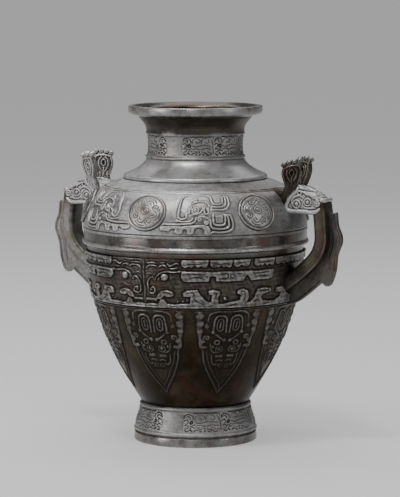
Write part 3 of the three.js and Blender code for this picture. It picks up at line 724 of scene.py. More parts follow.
@dataclass
class Section:
    """A turned ring of the body, in one piece or in halves that meet behind the handles.

    Its patina: pale is how pale the ground is at each height, patina tone together with painted
    light from above and painted shade below, lift how much paler carving of the full height is,
    fade the heights between which the lift sets in, handle_shade how much darker the ground is
    painted beside the handles as shade, and mottle how patchy it is. Carving bulges and hollows are
    marked by wear and painted highlight, and by dirt and painted shade. The waver bends each copy
    of a drawing, in millimetres.
    """

    name: str
    finish: Finish
    outer: Line
    inner: Line
    columns: int = 240
    halves: bool = False
    bands: list[Band] = field(default_factory=list)
    pale: Line = field(default_factory=lambda: [(0.0, 0.4)])
    lift: float = 0.0
    full: float = 1.2
    unevenness: float = 0.08
    reach: int = 4
    crispness: float = 0.6
    # Strengths of wear and painted highlight, and of dirt and painted shade.
    wear_and_highlight: float = 0.6
    dirt_and_shade: float = 1.0
    waver: float = 0.17
    handle_shade: float = 0.0
    mottle: float = 0.0
    fade: Point = (0.0, 1.0)
    handle_shade_bearings: Point = (68.0, 248.0)
    handle_shade_reach: float = 24.0
    faded: float = 0.2
    bare: float = 0.35
    seat_fade: float = 4.0
    bend_fade: float = 9.0

    def build(self) -> None:
        """Turn, carve and dress the ring."""
        carved = self._heights()
        carved = carved + self.crispness * (carved - blurred(carved, self.reach))
        place = self._places(carved)
        marks = self._marks(carved)
        middle = self.columns // 2
        parts = {"_front": slice(0, middle + 1), "_back": slice(middle, None)}
        for part, chosen in (parts if self.halves else {"": slice(None)}).items():
            own = {name: mark[:, chosen] for name, mark in marks.items()}
            self._cast(part, place[:, chosen], own)

    @property
    def step(self) -> float:
        """Degrees between two columns."""
        return 360.0 / self.columns

    @property
    def bearings(self) -> np.ndarray:
        """Bearings of the columns in degrees from the front."""
        return -90.0 + self.step * np.arange(self.columns)

    def _cast(self, part: str, place: np.ndarray, marks: dict[str, np.ndarray]) -> None:
        """Bend a sheet of quads round the profile, and close it.

        Args:
            part: End of the piece's name.
            place: Positions by station and bearing, the first station again at the end.
            marks: Numbers of the patina, of the same shape.
        """
        rows, columns = place.shape[:2]
        bm = bmesh.new()
        bmesh.ops.create_grid(bm, x_segments=columns - 1, y_segments=rows - 1, size=1.0)
        mesh = mesh_of(bm, self.name)
        flat = positions(mesh) * MM
        column = np.rint((flat[:, 0] + 1) / 2 * (columns - 1)).astype(int)
        row = np.rint((flat[:, 1] + 1) / 2 * (rows - 1)).astype(int)
        move_to(mesh, place[row, column])
        for name, mark in marks.items():
            set_numbers(mesh, name, mark[row, column])
        bm = bmesh.new()
        bm.from_mesh(mesh)
        bpy.data.meshes.remove(mesh)
        rim = [vertex for vertex in bm.verts if vertex.is_boundary]
        bmesh.ops.remove_doubles(bm, verts=rim, dist=WELD)
        ends = [edge for edge in bm.edges if edge.is_boundary]
        bmesh.ops.holes_fill(bm, edges=ends)
        for edge in ends:
            edge.smooth = False
        finish_piece(mesh_of(bm, f"vase_{self.name}{part}"), self.name, self.finish, part=part)

    def _places(self, carved: np.ndarray) -> np.ndarray:
        """Positions of the ring's points.

        Args:
            carved: Heights of the outside, by station and bearing.

        Returns:
            Positions by station and bearing, each closed to a loop.
        """
        profile = np.array([*self.outer, *self.inner])
        angle = np.radians(-180.0 + self.step * np.arange(self.columns))
        rows = len(self.outer)
        inward = leftward(profile[:rows])
        radius = np.repeat(profile[:, :1], self.columns, axis=1)
        height = np.repeat(profile[:, 1:], self.columns, axis=1)
        raised = carved + self._uneven(angle, profile[:rows, 1])
        radius[:rows] -= raised * inward[:, :1]
        height[:rows] -= raised * inward[:, 1:]
        place = np.stack([radius * np.cos(angle), radius * np.sin(angle), height], axis=-1)
        return np.pad(place, ((0, 1), (0, 1), (0, 0)), mode="wrap")

    def _uneven(self, angle: np.ndarray, heights: np.ndarray) -> np.ndarray:
        """Slight waves of a hand-finished casting, nil at both seats.

        Args:
            angle: Turn of each column in radians.
            heights: Height of each station.

        Returns:
            Heights by station and bearing.
        """
        z = heights[:, None]
        ends = np.clip(np.minimum(z - z.min(), z.max() - z) / self.seat_fade, 0.0, 1.0)
        return self.unevenness * waves(angle, z, UNEVEN_WAVES) * ends

    def _heights(self) -> np.ndarray:
        """Carved heights of the outside in millimetres, by station and bearing.

        Returns:
            The heights, nil outside the bands.
        """
        profile = np.array(self.outer)
        run = run_along(profile)
        heights = np.zeros((len(profile), self.columns))
        for band in self.bands:
            start = np.interp(band.low, profile[:, 1], run)
            end = np.interp(band.high, profile[:, 1], run)
            rows = np.nonzero((run >= start - 1e-6) & (run <= end + 1e-6))[0]
            up = run[rows] - start
            units = np.radians(1.0) * profile[rows, 0]
            apart = np.arange(0.0, 180.0 / band.repeats + self.step, self.step)
            relief = Relief(apart * units[:, None], np.repeat(up[:, None], len(apart), axis=1),
                            lambda v, up=up, units=units: np.interp(v, up, units))
            band.drawing(relief)
            heights[rows] += self._bent(relief.total(), band, up, units)
        return heights

    def _bent(self, carved: np.ndarray, band: Band, up: np.ndarray,
              units: np.ndarray) -> np.ndarray:
        """Lay a drawing round the band, each copy bent a little as by hand.

        Args:
            carved: Heights of one copy.
            band: The band.
            up: Distance up the band of each row.
            units: Length of a degree on each row.

        Returns:
            Heights by row and bearing.
        """
        bearing, v = self.bearings[None, :], up[:, None]
        turn = np.radians(bearing)
        aside = self.waver * waves(turn, v, ASIDE_WAVES)
        lift = self.waver * waves(turn, v, LIFT_WAVES)
        lift *= np.clip(np.minimum(v, up[-1] - v) / self.bend_fade - 0.5, 0.0, 1.0)
        column = band.folded(bearing + aside / units[:, None]) / self.step
        row = np.interp(v + lift, up, np.arange(len(up)))
        left = np.clip(column.astype(int), 0, carved.shape[1] - 2)
        below = np.clip(row.astype(int), 0, carved.shape[0] - 2)
        x, y = column - left, row - below
        low, high = (carved[line, left] * (1 - x) + carved[line, left + 1] * x
                     for line in (below, below + 1))
        return low * (1 - y) + high * y

    def _marks(self, carved: np.ndarray) -> dict[str, np.ndarray]:
        """Wear and painted highlight where the carving stands out, dirt and painted shade where it
        lies deep, and how pale the ground is, painted light included.

        Args:
            carved: Heights of the outside.

        Returns:
            Numbers by station and bearing, each closed to a loop.
        """
        rows = len(self.outer)
        close = carved - blurred(carved, self.reach)
        wide = carved - blurred(carved, 3 * self.reach)
        turn, z = np.radians(self.bearings)[None, :], np.array(self.outer)[:, 1:]
        aside = np.min([np.abs(self.bearings - middle) for middle in self.handle_shade_bearings], axis=0)
        ground = np.interp(z, *zip(*self.pale))
        # Painted shade: the ground is painted darker near the given bearings beside the handles.
        ground = ground * (1 - self.handle_shade * nearness(aside, self.handle_shade_reach))
        spots = sum(waves(turn, z, [one]) * waves(turn, z, [other])
                    for one, other in MOTTLE_WAVES)
        patchy = 1 + self.mottle * np.clip(spots, -1.0, 1.0)
        bare = self.bare * self.full
        lift = self.lift * np.interp(z, self.fade, [self.faded, 1.0])
        lift = lift * np.clip((carved - bare) / (self.full - bare), 0.0, 1.0)
        # Bulges get wear and painted highlight, hollows get dirt and painted shade.
        worn_highlight = self.wear_and_highlight * (WEAR_HIGHLIGHT_OF_CLOSE * close + WEAR_HIGHLIGHT_OF_WIDE * wide) + self._edge_wear_highlight()
        dirt_shade = -self.dirt_and_shade * (DIRT_SHADE_OF_CLOSE * close + DIRT_SHADE_OF_WIDE * wide)
        marks = {"raised": worn_highlight, "sunk": dirt_shade, "pale": patchy * (ground + lift)}
        for name, mark in marks.items():
            inside = INSIDE_PALE if name == "pale" else 0.0
            whole = np.full((rows + len(self.inner), self.columns), inside)
            whole[:rows] = np.clip(mark, 0.0, 1.0)
            marks[name] = np.pad(whole, ((0, 1), (0, 1)), mode="wrap")
        return marks

    def _edge_wear_highlight(self) -> np.ndarray:
        """Wear and painted highlight of each station, greater where the profile turns a convex
        corner.

        Returns:
            One row for each station.
        """
        profile = np.array(self.outer)
        run = run_along(profile)
        sample = np.linspace(0.0, run[-1], max(8, int(run[-1] / EDGE_SAMPLE)))
        line = np.stack([np.interp(sample, run, axis) for axis in profile.T], axis=1)
        along = np.gradient(line, axis=0)
        heading = np.unwrap(np.arctan2(along[:, 1], along[:, 0]))
        bend = np.convolve(np.gradient(heading), np.ones(5) / 5, mode="same")
        bend[[0, 1, 2, -3, -2, -1]] = 0.0
        return np.interp(run, sample, np.clip(bend * EDGE_WEAR_HIGHLIGHT, 0.0, EDGE_WEAR_HIGHLIGHT_MOST))[:, None]


SEAT_CLEAR = 3.0


def lining(line: Line, wall: float, low: Point, high: Point, spacing: float = 9.0) -> Line:
    """Inner side of a section's wall, from the top down.

    Args:
        line: The outer line, from the bottom up.
        wall: Thickness of the wall.
        low: Bore and height of the seat below.
        high: Bore and height of the seat above.
        spacing: Distance between its points.

    Returns:
        The points.
    """
    points = np.array(spread(line, spacing))
    skin = [tuple(point) for point in points + wall * leftward(points)
            if low[1] + SEAT_CLEAR < point[1] < high[1] - SEAT_CLEAR]
    return [high, *reversed(skin), low]


# Drawings of the reliefs


@dataclass
class ShoulderDragons:
    """A coiled dragon on each quarter of the shoulder, facing the front or the back roundel."""

    line: float = 1.8
    rise: float = 0.82
    body: float = 0.15

    def draw(self, relief: Relief) -> None:
        """Carve one dragon between its roundels, and the lines round the shoulder.

        Args:
            relief: The relief that it is carved in.
        """
        self._head(relief)
        self._tail(relief)
        self._claws(relief)
        for height, width, rise in ((53.9, 1.8, 0.45), (55.4, 1.7, -0.7), (3.4, 1.4, -0.35)):
            relief.ridge([(step * 5.0, height) for step in range(19)], width, rise)

    def _head(self, relief: Relief) -> None:
        """Snout, crest, eye and ear.

        Args:
            relief: The relief that it is carved in.
        """
        relief.plateau([(18.4, 31), (19.4, 42), (22.4, 49), (34.0, 48.0), (35.0, 37), (34.2, 26),
                        (26.5, 24.5), (22, 24.5)], self.body, 1.6, smooth=True)
        relief.settle()
        relief.ridge([(23.4, 50.6), (20.6, 48.4), (18.8, 43.4), (18.1, 37), (17.7, 31),
                      (17.3, 26.6), (17.9, 22.8), (19.6, 21.2), (21.3, 22.6), (21.9, 25.2)],
                     self.line + 0.3, self.rise, (0.5, 0.8))
        relief.ridge([(19.9, 46.0), (19.0, 40), (18.9, 33)], 1.1, -0.35)
        relief.ridge([(23.4, 50.6), (28.0, 50.4), (32.4, 49.4), (34.6, 46.4), (35.3, 41.4),
                      (36.6, 38.0), (39.2, 37.7), (41.0, 40.2), (41.6, 46.6)],
                     self.line, self.rise, (0.5, 0.7))
        relief.ridge([(24.6, 38.3), (27.8, 40.6), (31.2, 40.9), (33.0, 38.6), (34.0, 35.2)],
                     self.line - 0.3, self.rise)
        relief.spiral((26.2, 43.0), 2.6, 1.1, 200, 1.6, self.rise * 0.8)
        relief.ridge([(30.3, 35.9), (30.3, 32.6), (29.2, 29.4), (27.2, 27.0), (24.9, 26.4)],
                     self.line - 0.4, self.rise)
        relief.ring((26.3, 31.0), 3.3, 1.9, self.rise * 0.9)
        relief.boss((26.3, 31.0), 2.2, 1.6)
        relief.ridge([(31.9, 36.4), (31.0, 33.0), (31.0, 28.4), (32.0, 26.8), (33.1, 28.6),
                      (32.9, 33.2)], self.line - 0.4, self.rise, (0.5, 0.6))
        relief.ridge([(22.9, 33.4), (23.2, 29.0), (21.6, 26.6)], 1.7, self.rise * 0.8)
        relief.ridge([(23.6, 36.6), (24.2, 33.8), (23.9, 31.6)], 1.5, self.rise * 0.7)
        relief.spiral((28.6, 20.9), 3.0, 1.2, 60, 1.6, self.rise * 0.85)
        relief.spiral((31.6, 17.6), 2.3, -1.2, 30, 1.5, self.rise * 0.8)
        relief.ridge([(30.2, 23.9), (32.4, 22.6), (33.4, 19.6)], 1.6, self.rise * 0.8)

    def _tail(self, relief: Relief) -> None:
        """The hooked tail above and the square spiral under it.

        Args:
            relief: The relief that it is carved in.
        """
        rise = self.rise
        relief.plateau([(34.6, 31.0), (35.0, 38.6), (39.2, 38.4), (41.0, 41), (41.6, 48.0),
                        (44.6, 48.0), (44.9, 38.0), (43.2, 32.2), (40, 30.2)], self.body, 1.4)
        relief.ridge([(34.9, 34.9), (38.0, 34.4), (40.9, 34.9), (42.7, 38.0), (43.1, 46.9)],
                     1.9, rise, (0.5, 0.7))
        relief.ridge([(34.3, 30.9), (37.5, 31.3), (41.4, 31.2), (43.9, 34.2), (44.7, 39.4),
                      (44.6, 47.2)], 2.2, rise, (0.5, 0.9))
        relief.ridge([(41.5, 46.8), (42.9, 48.2), (44.6, 47.2)], 1.8, rise)
        relief.ridge([(35.6, 25.6), (35.3, 19.4), (35.9, 16.0), (38.4, 15.0), (40.8, 16.0),
                      (41.6, 19.4), (41.5, 24.4)], 2.2, rise, (0.7, 0.7))
        relief.ridge([(34.0, 20.5), (33.9, 14.6), (35.6, 11.7), (39.2, 11.1), (42.3, 12.2),
                      (43.3, 16.0), (43.2, 22.6), (42.1, 25.0)], 2.3, rise, (0.6, 0.9))
        relief.ridge([(41.2, 25.6), (43.2, 25.8), (44.9, 23.4), (45.3, 16.6), (44.8, 10.8),
                      (42.6, 8.2), (38.6, 7.3), (35.4, 8.0), (33.9, 6.4)], 2.1, rise, (0.7, 0.5))
        relief.plateau([(36.6, 24.6), (36.5, 17.6), (40.3, 17.6), (40.4, 24.6)], 0.3, 1.2)

    def _claws(self, relief: Relief) -> None:
        """The long lower line and the flame-edged body under it.

        Args:
            relief: The relief that it is carved in.
        """
        rise = self.rise
        relief.ridge([(9.6, 15.9), (14.0, 15.8), (19.6, 16.0), (23.8, 16.6), (25.9, 19.0),
                      (26.6, 22.8)], 2.1, rise, (0.4, 0.8))
        relief.ridge([(16.9, 20.0), (19.8, 18.7), (23.4, 19.0), (24.8, 22.0)], 1.6, rise * 0.7)
        relief.plateau([(8.4, 13.2), (8.6, 9.9), (12.6, 8.9), (14.4, 11.4), (16.2, 11.6),
                        (15.9, 7.4), (17.6, 5.7), (19.5, 6.6), (20.2, 10.4), (21.4, 11.2),
                        (22.5, 9.2),
                        (22.2, 6.6), (23.6, 5.4), (25.1, 6.6), (25.8, 11.0), (27.4, 13.0),
                        (29.6, 12.6), (30.9, 10.2), (31.2, 6.4), (32.3, 4.6), (33.7, 5.4),
                        (33.9, 9.6), (32.9, 13.6), (30.4, 15.2), (26, 14.4), (20, 13.6),
                        (12, 13.4)], rise * 0.85, 1.2)
        relief.ridge([(10.2, 11.6), (13.4, 12.2), (17.2, 12.4), (18.2, 8.8)], 0.9, -0.35)
        relief.ridge([(20.9, 12.6), (24.2, 12.2), (24.0, 8.4)], 0.9, -0.35)


@dataclass
class FriezeMask:
    """The mask at the front and the back, with its broken body bands to the handles."""

    step: float = 1.4
    rise: float = 1.5

    def draw(self, relief: Relief) -> None:
        """Carve half a mask and the body beside it, as far as the handle.

        Args:
            relief: The relief that it is carved in.
        """
        relief.ridge([(0.0, -1.0), (0.0, 50.0)], 1.5, 0.7)
        self._bands(relief)
        self._feet(relief)
        relief.settle()
        self._face(relief)
        self._crown(relief)
        self._pits(relief)

    def _face(self, relief: Relief) -> None:
        """Eye, brow and the scroll of the nose.

        Args:
            relief: The relief that it is carved in.
        """
        relief.plateau([(8.0, 30.6), (9.6, 35.8), (13.4, 36.4), (16.6, 33.4), (13.0, 29.6)],
                       0.3, 1.6, smooth=True)
        relief.boss((11.4, 33.0), 4.1, 3.2)
        relief.boss((11.4, 32.8), 1.1, -0.5, add=True)
        relief.ridge([(6.3, 28.6), (7.0, 32.2), (8.5, 35.9), (10.8, 38.3), (13.2, 38.9),
                      (15.4, 38.5), (17.6, 38.4), (19.9, 39.0)], 1.6, self.rise, (0.6, 1.3))
        relief.ridge([(7.9, 28.2), (8.3, 31.4), (9.4, 34.4)], 1.2, self.rise * 0.6, (0.4, 0.4))
        relief.ridge([(3.7, 19.0), (3.9, 20.6), (4.9, 21.7), (5.9, 20.2), (6.0, 17.6), (4.9, 15.7),
                      (3.3, 15.6), (2.3, 17.5), (2.1, 21.0), (2.3, 26.0), (3.1, 30.0), (4.6, 33.0),
                      (5.8, 32.2), (5.9, 30.2)], 1.6, self.rise, (0.9, 0.6))
        relief.boss((4.4, 18.7), 1.1, 1.0)
        relief.ridge([(7.4, 25.8), (8.6, 23.4), (10.6, 22.9), (12.8, 24.2), (15.2, 26.4)],
                     1.4, 0.5, (0.3, 0.3))
        relief.ridge([(1.5, 35.4), (2.8, 37.2), (4.6, 36.2)], 1.3, 0.7, (0.5, 0.5))

    def _crown(self, relief: Relief) -> None:
        """The row of cloud-like hooks above the brows.

        Args:
            relief: The relief that it is carved in.
        """
        for line, width in (
            ([(1.6, 42.0), (3.0, 44.4), (5.2, 45.2), (7.2, 44.4), (7.9, 42.4)], 2.2),
            ([(2.4, 47.4), (4.8, 48.0), (7.6, 47.2)], 1.5),
            ([(8.6, 43.4), (10.2, 45.4), (12.0, 45.0), (12.8, 43.2)], 2.2),
            ([(13.2, 46.8), (14.6, 44.8), (16.4, 46.2), (17.8, 47.6), (19.4, 47.0)], 2.1),
            ([(9.4, 47.9), (12.0, 48.3)], 1.4),
            ([(14.6, 42.4), (16.4, 42.0), (18.4, 43.0)], 1.6),
        ):
            relief.ridge(line, width, self.rise * 0.75, (0.6, 0.6))

    def _bands(self, relief: Relief) -> None:
        """The two upper body bands, notched along their lower edges.

        Args:
            relief: The relief that it is carved in.
        """
        for first, last in ((20.6, 33.6), (35.0, 46.4), (47.4, 56.2), (59.0, 71.8), (73.4, 90.0)):
            middle = (first + last) / 2
            relief.plateau([(first + 0.2, 53.0), (first, 46.0), (first + 1.6, 43.2),
                            (first + 4.0, 44.4), (middle - 1.6, 43.0), (middle, 45.6),
                            (middle + 1.7, 43.2), (last - 3.6, 44.6), (last - 1.4, 43.2),
                            (last, 46.0), (last - 0.2, 53.0)], self.step * 0.9, 1.4, smooth=True)
        relief.plateau([(20.6, 38.9), (20.2, 33.0), (21.2, 29.4), (23.0, 28.5), (34.4, 28.5),
                        (35.0, 33.4), (36.5, 34.4), (38.2, 33.4), (38.6, 28.5), (53.0, 28.5),
                        (53.6, 32.2), (55.1, 34.8), (56.6, 32.2), (57.2, 28.5), (69.4, 28.5),
                        (71.2, 29.6), (71.8, 32.0), (71.8, 38.9)], self.step)

    def _feet(self, relief: Relief) -> None:
        """The lower row of wave-like hooks on a running base.

        Args:
            relief: The relief that it is carved in.
        """
        top = self.step
        relief.plateau([(0.8, 10.2), (6.9, 10.0), (6.9, 7.6), (0.8, 7.9)], top * 0.7)
        base = [(0.0, -3.0), (0.0, 3.6), (4.0, 4.6), (7.6, 3.6), (9.0, 9.4), (11.0, 13.6),
                (12.4, 12.2), (15.2, 12.4), (16.4, 14.6), (15.6, 17.6), (12.6, 19.2), (9.4, 18.0),
                (7.2, 14.0), (6.2, 9.8), (10.6, 9.4), (12.4, 4.4), (16.0, 3.4), (19.4, 4.6),
                (24.4, 4.4), (25.4, 11.8), (21.2, 12.4), (21.0, 16.0), (23.2, 18.8), (28.6, 19.6),
                (29.8, 15.4), (32.4, 9.6), (34.8, 6.8), (36.2, 6.6), (36.4, 14.0), (34.4, 14.6),
                (34.2, 17.6), (36.6, 19.7), (40.4, 18.4), (40.6, 14.8), (39.6, 13.6), (39.8, 5.2),
                (42.6, 4.2), (46.0, 5.8), (51.4, 7.6), (52.4, 12.2), (50.0, 15.2), (50.4, 18.6),
                (53.4, 20.0), (56.2, 17.4), (57.0, 11.0), (56.0, 5.0), (58.4, 5.6), (60.6, 9.4),
                (61.0, 14.0), (62.0, 18.6), (66.0, 19.8), (70.8, 19.2), (70.8, 14.2), (66.0, 13.6),
                (64.6, 10.0), (66.0, 6.4), (70.4, 5.2), (74.8, 5.0), (78.8, 8.4), (79.2, 13.0),
                (75.0, 13.6), (75.4, 18.6), (80.8, 18.8), (84.0, 12.0), (92.0, 6.0), (92.0, -3.0)]
        relief.plateau(base, top, 1.0)
        for x, y, radius, rise in ((43.1, 10.0, 1.9, 1.3), (20.9, 7.2, 1.2, 1.0),
                                   (18.0, 6.6, 0.9, 0.8), (23.4, 8.6, 0.8, 0.7),
                                   (72.0, 8.0, 1.1, 0.8)):
            relief.boss((x, y), radius, rise)

    def _pits(self, relief: Relief) -> None:
        """Faint sunk lines and pits inside the raised work.

        Args:
            relief: The relief that it is carved in.
        """
        for line in (
            [(22.6, 36.4), (27.0, 36.6), (33.0, 36.2)], [(24.0, 31.6), (28.6, 33.4), (32.6, 31.4)],
            [(40.6, 36.4), (43.8, 36.2), (44.6, 33.6), (43.4, 31.6), (41.0, 32.0)],
            [(46.2, 36.0), (45.6, 33.0), (47.0, 31.2)], [(49.0, 36.6), (51.8, 36.2)],
            [(58.4, 36.4), (63.0, 36.2), (68.8, 36.4)], [(60.0, 31.8), (64.2, 33.4), (68.4, 31.6)],
            [(23.0, 47.4), (27.4, 46.6), (31.6, 47.6)], [(37.0, 47.8), (40.6, 46.8), (44.6, 47.8)],
            [(49.2, 47.6), (54.0, 47.4)], [(61.0, 47.6), (65.4, 46.8), (70.0, 47.6)],
            [(10.2, 16.4), (12.8, 16.8), (14.4, 15.2)], [(23.0, 16.0), (26.4, 16.6), (27.2, 13.4)],
            [(26.8, 10.4), (28.4, 7.4), (31.6, 4.6)], [(37.2, 17.2), (38.6, 16.4), (38.0, 12.0)],
            [(51.8, 17.4), (54.0, 17.0), (54.6, 12.0), (53.4, 6.6)],
            [(63.2, 17.0), (66.4, 16.8), (69.2, 17.0)], [(60.6, 5.4), (62.6, 8.4)],
            [(5.0, 1.8), (8.4, 3.0)], [(14.0, 1.6), (18.0, 2.4)], [(33.6, 1.8), (37.4, 3.2)],
            [(45.0, 2.0), (49.4, 4.0)], [(66.6, 2.0), (71.0, 3.0)],
        ):
            relief.ridge(line, 1.3, -0.55, (0.5, 0.5))


@dataclass
class BellyBlades:
    """Eight hanging blades, each with a mirror-image pattern of eyes and curls."""

    rise: float = 0.62
    width: Line = field(default_factory=lambda: [
        (0.0, 21.0), (3.6, 27.5), (7.2, 36.0), (11.4, 48.0), (13.8, 58.0), (15.6, 70.0),
        (17.2, 84.0), (18.6, 100.0), (19.4, 114.0), (19.9, 125.0)])

    def draw(self, relief: Relief) -> None:
        """Carve half a blade.

        Args:
            relief: The relief that it is carved in.
        """
        relief.plateau([(-2.0, 19.6), *self.width, (-2.0, 125.0)], 0.3, 1.3)
        relief.settle()
        inner = [(max(x - 3.0, 0.0), y + 5.5) for x, y in self.width[:-4]]
        relief.ridge([(0.0, 21.6), *[(max(x - 0.9, 0.0), y + 0.9) for x, y in self.width[1:-4]]],
                     1.8, self.rise, (1.0, 0.8))
        relief.ridge(inner, 1.5, self.rise * 0.8, (1.0, 0.6))
        self._border(relief)
        self._eyes(relief)
        self._curls(relief)

    def _border(self, relief: Relief) -> None:
        """The lobed border beside the eyes, with its hooked curl.

        Args:
            relief: The relief that it is carved in.
        """
        relief.ridge([(16.8, 126.0), (16.9, 110.0), (17.0, 99.0), (16.4, 91.0)], 6.6,
                     self.rise * 0.75, (1.0, 0.7))
        for x, y, size in ((16.6, 116.6, 4.0), (16.6, 107.6, 4.1), (16.9, 99.2, 3.2)):
            relief.boss((x, y), size, self.rise + 0.25)
        relief.spiral((12.6, 91.2), 3.4, 1.3, -40, 2.0, self.rise + 0.2)
        relief.plateau([(16.8, 92.0), (13.4, 87.4), (14.6, 85.4), (15.0, 82.8), (12.0, 81.2),
                        (13.0, 79.0), (16.2, 79.2), (17.2, 83.0)], self.rise + 0.3, 1.2,
                       smooth=True)
        relief.ridge([(15.2, 79.0), (14.4, 73.0), (14.6, 67.0)], 1.9, self.rise, (0.8, 0.5))

    def _eyes(self, relief: Relief) -> None:
        """The long arched eyes under the frieze.

        Args:
            relief: The relief that it is carved in.
        """
        rise = self.rise
        relief.ridge([(1.1, 97.4), (1.2, 106.0), (1.6, 113.6), (4.2, 116.6), (7.0, 115.6),
                      (8.2, 111.0), (8.6, 104.0), (8.8, 98.2)], 2.2, rise + 0.2, (0.8, 1.1))
        relief.boss((8.9, 97.8), 1.9, rise + 0.4)
        relief.ridge([(3.0, 100.8), (3.0, 109.0), (4.0, 112.4), (5.6, 112.4), (6.6, 109.0),
                      (6.5, 102.0), (4.9, 99.2), (3.0, 100.8)], 1.6, rise * 0.8)
        relief.ridge([(4.8, 103.0), (4.8, 109.4)], 1.9, rise + 0.1)
        relief.ridge([(2.6, 121.0), (6.0, 121.6), (9.4, 120.2), (11.6, 117.0), (12.0, 110.0)],
                     1.9, rise * 0.9, (0.6, 0.5))
        relief.spiral((12.4, 104.8), 2.2, -1.1, 90, 1.6, rise * 0.8)
        relief.ridge([(7.6, 95.6), (5.6, 92.6), (3.2, 89.6), (1.6, 88.0)], 2.0, rise, (0.6, 1.2))
        relief.boss((1.9, 88.4), 2.0, rise + 0.3)

    def _curls(self, relief: Relief) -> None:
        """The ringed curls, bars and the small triangle towards the tip.

        Args:
            relief: The relief that it is carved in.
        """
        rise = self.rise
        relief.ring((6.0, 85.8), 2.5, 1.9, rise + 0.1)
        relief.ring((4.2, 77.6), 3.5, 1.7, rise)
        relief.boss((4.2, 77.9), 2.0, rise + 0.6)
        relief.ridge([(9.9, 84.0), (9.7, 79.0), (8.6, 75.4), (6.6, 73.6), (4.6, 73.4)],
                     1.8, rise, (0.6, 0.6))
        relief.boss((8.4, 80.6), 1.6, rise + 0.2)
        relief.plateau([(1.6, 71.0), (6.4, 71.0), (6.2, 67.8), (1.6, 67.8)], rise, 1.0)
        relief.ridge([(8.9, 71.2), (8.8, 65.0), (7.9, 60.6), (6.2, 58.4), (5.0, 59.6)],
                     2.1, rise + 0.1, (0.6, 1.1))
        relief.ridge([(1.2, 63.2), (2.8, 64.4), (4.6, 64.0), (5.8, 62.0)], 1.7, rise, (0.9, 0.4))
        relief.ridge([(0.9, 58.0), (2.6, 59.2), (3.8, 57.2), (2.6, 55.6), (1.2, 56.2)], 1.6, rise)
        relief.plateau([(-1.0, 51.4), (5.4, 51.4), (4.0, 46.0), (1.4, 38.4), (0.0, 36.2),
                        (-1.0, 36.2)], rise * 0.35, 1.4)
        relief.ridge([(1.6, 48.8), (3.8, 48.6)], 0.9, -0.3)


@dataclass
class WalkingDragons:
    """Two incised dragons in each quarter of a narrow band, both facing the plain gap."""

    height: float
    starts: tuple[float, ...] = (11.0, 49.5)
    line: float = 1.15
    depth: float = 0.45
    body: tuple[Line, ...] = (
        [(11.6, 12.8), (12.2, 16.4), (15.4, 18.5), (19.6, 17.8), (20.8, 15.2), (18.4, 13.6),
         (16.0, 14.8)],
        [(22.0, 13.0), (22.8, 17.0), (26.0, 18.5), (30.2, 17.8), (31.6, 15.0), (29.2, 13.4),
         (26.6, 14.8)],
        [(11.6, 11.0), (16.0, 9.8), (22.0, 11.2), (28.0, 11.6), (34.2, 10.2)],
        [(12.2, 7.4), (17.0, 8.0), (22.0, 6.8), (28.0, 8.4), (34.6, 7.0)],
        [(33.4, 18.0), (35.4, 15.2), (35.2, 11.8)], [(36.6, 4.8), (36.8, 11.0), (36.6, 18.6)],
        [(14.0, 5.6), (16.6, 4.0), (19.0, 5.4)], [(22.6, 5.2), (25.0, 3.8), (27.4, 5.4)],
        [(30.0, 5.2), (32.0, 4.0), (34.4, 4.8)],
    )
    head: tuple[Line, ...] = (
        [(0.8, 14.6), (1.6, 17.4), (4.6, 18.7), (8.6, 17.6), (10.2, 14.6), (8.6, 13.2)],
        [(2.6, 16.2), (5.2, 16.8), (6.8, 15.0), (5.4, 13.6)],
        [(0.6, 12.0), (3.0, 13.2), (4.9, 11.6), (4.2, 9.6), (1.6, 9.0)],
        [(0.8, 7.2), (3.0, 7.9), (5.2, 6.2), (3.8, 4.8), (1.6, 5.4)],
        [(5.6, 7.4), (8.6, 7.2), (11.4, 8.8)], [(6.4, 5.2), (9.0, 5.6), (11.8, 5.2)],
    )
    claws: tuple[Line, ...] = (
        [(1.4, 3.4), (3.2, 1.4), (5.2, 2.6)], [(7.0, 3.6), (8.4, 1.6)], [(10.6, 1.6), (12.2, 3.4)],
        [(15.6, 2.6), (17.6, 1.2)], [(20.2, 1.4), (21.4, 3.0)], [(24.0, 2.2), (26.2, 1.2)],
        [(29.0, 3.0), (30.6, 1.4), (32.8, 2.2)],
    )

    def draw(self, relief: Relief) -> None:
        """Cut the dragons of one quarter."""
        for start in self.starts:
            self._dragon(relief, start)

    def _dragon(self, relief: Relief, start: float) -> None:
        """Cut one dragon, drawn 36 degrees long and 20 high.

        Args:
            relief: The band.
            start: Bearing of its mouth.
        """
        scale = self.height / 20.0

        def placed(points: Line) -> Line:
            """The points, set in the band."""
            return [(start + x, y * scale) for x, y in points]

        relief.plateau(placed([(0.2, 4.6), (1.4, 15.0), (9.0, 19.0), (35.6, 18.6), (36.6, 4.8)]),
                       0.25, 2.0, smooth=True)
        for lines, share in ((self.head, 1.15), (self.body, 0.8), (self.claws, 1.15)):
            for line in lines:
                relief.ridge(placed(line), self.line * share, -self.depth * share, (0.8, 0.5))
        eye = placed([(8.0, 10.6)])[0]
        relief.boss(eye, 2.6, -0.6, add=True)
        relief.boss(eye, 1.0, 0.3, add=True)
        for spot in placed([(6.6, 3.4), (13.4, 3.2), (20.4, 4.6), (27.2, 3.4), (34.4, 2.6)]):
            relief.boss(spot, 0.9, -0.5, add=True)


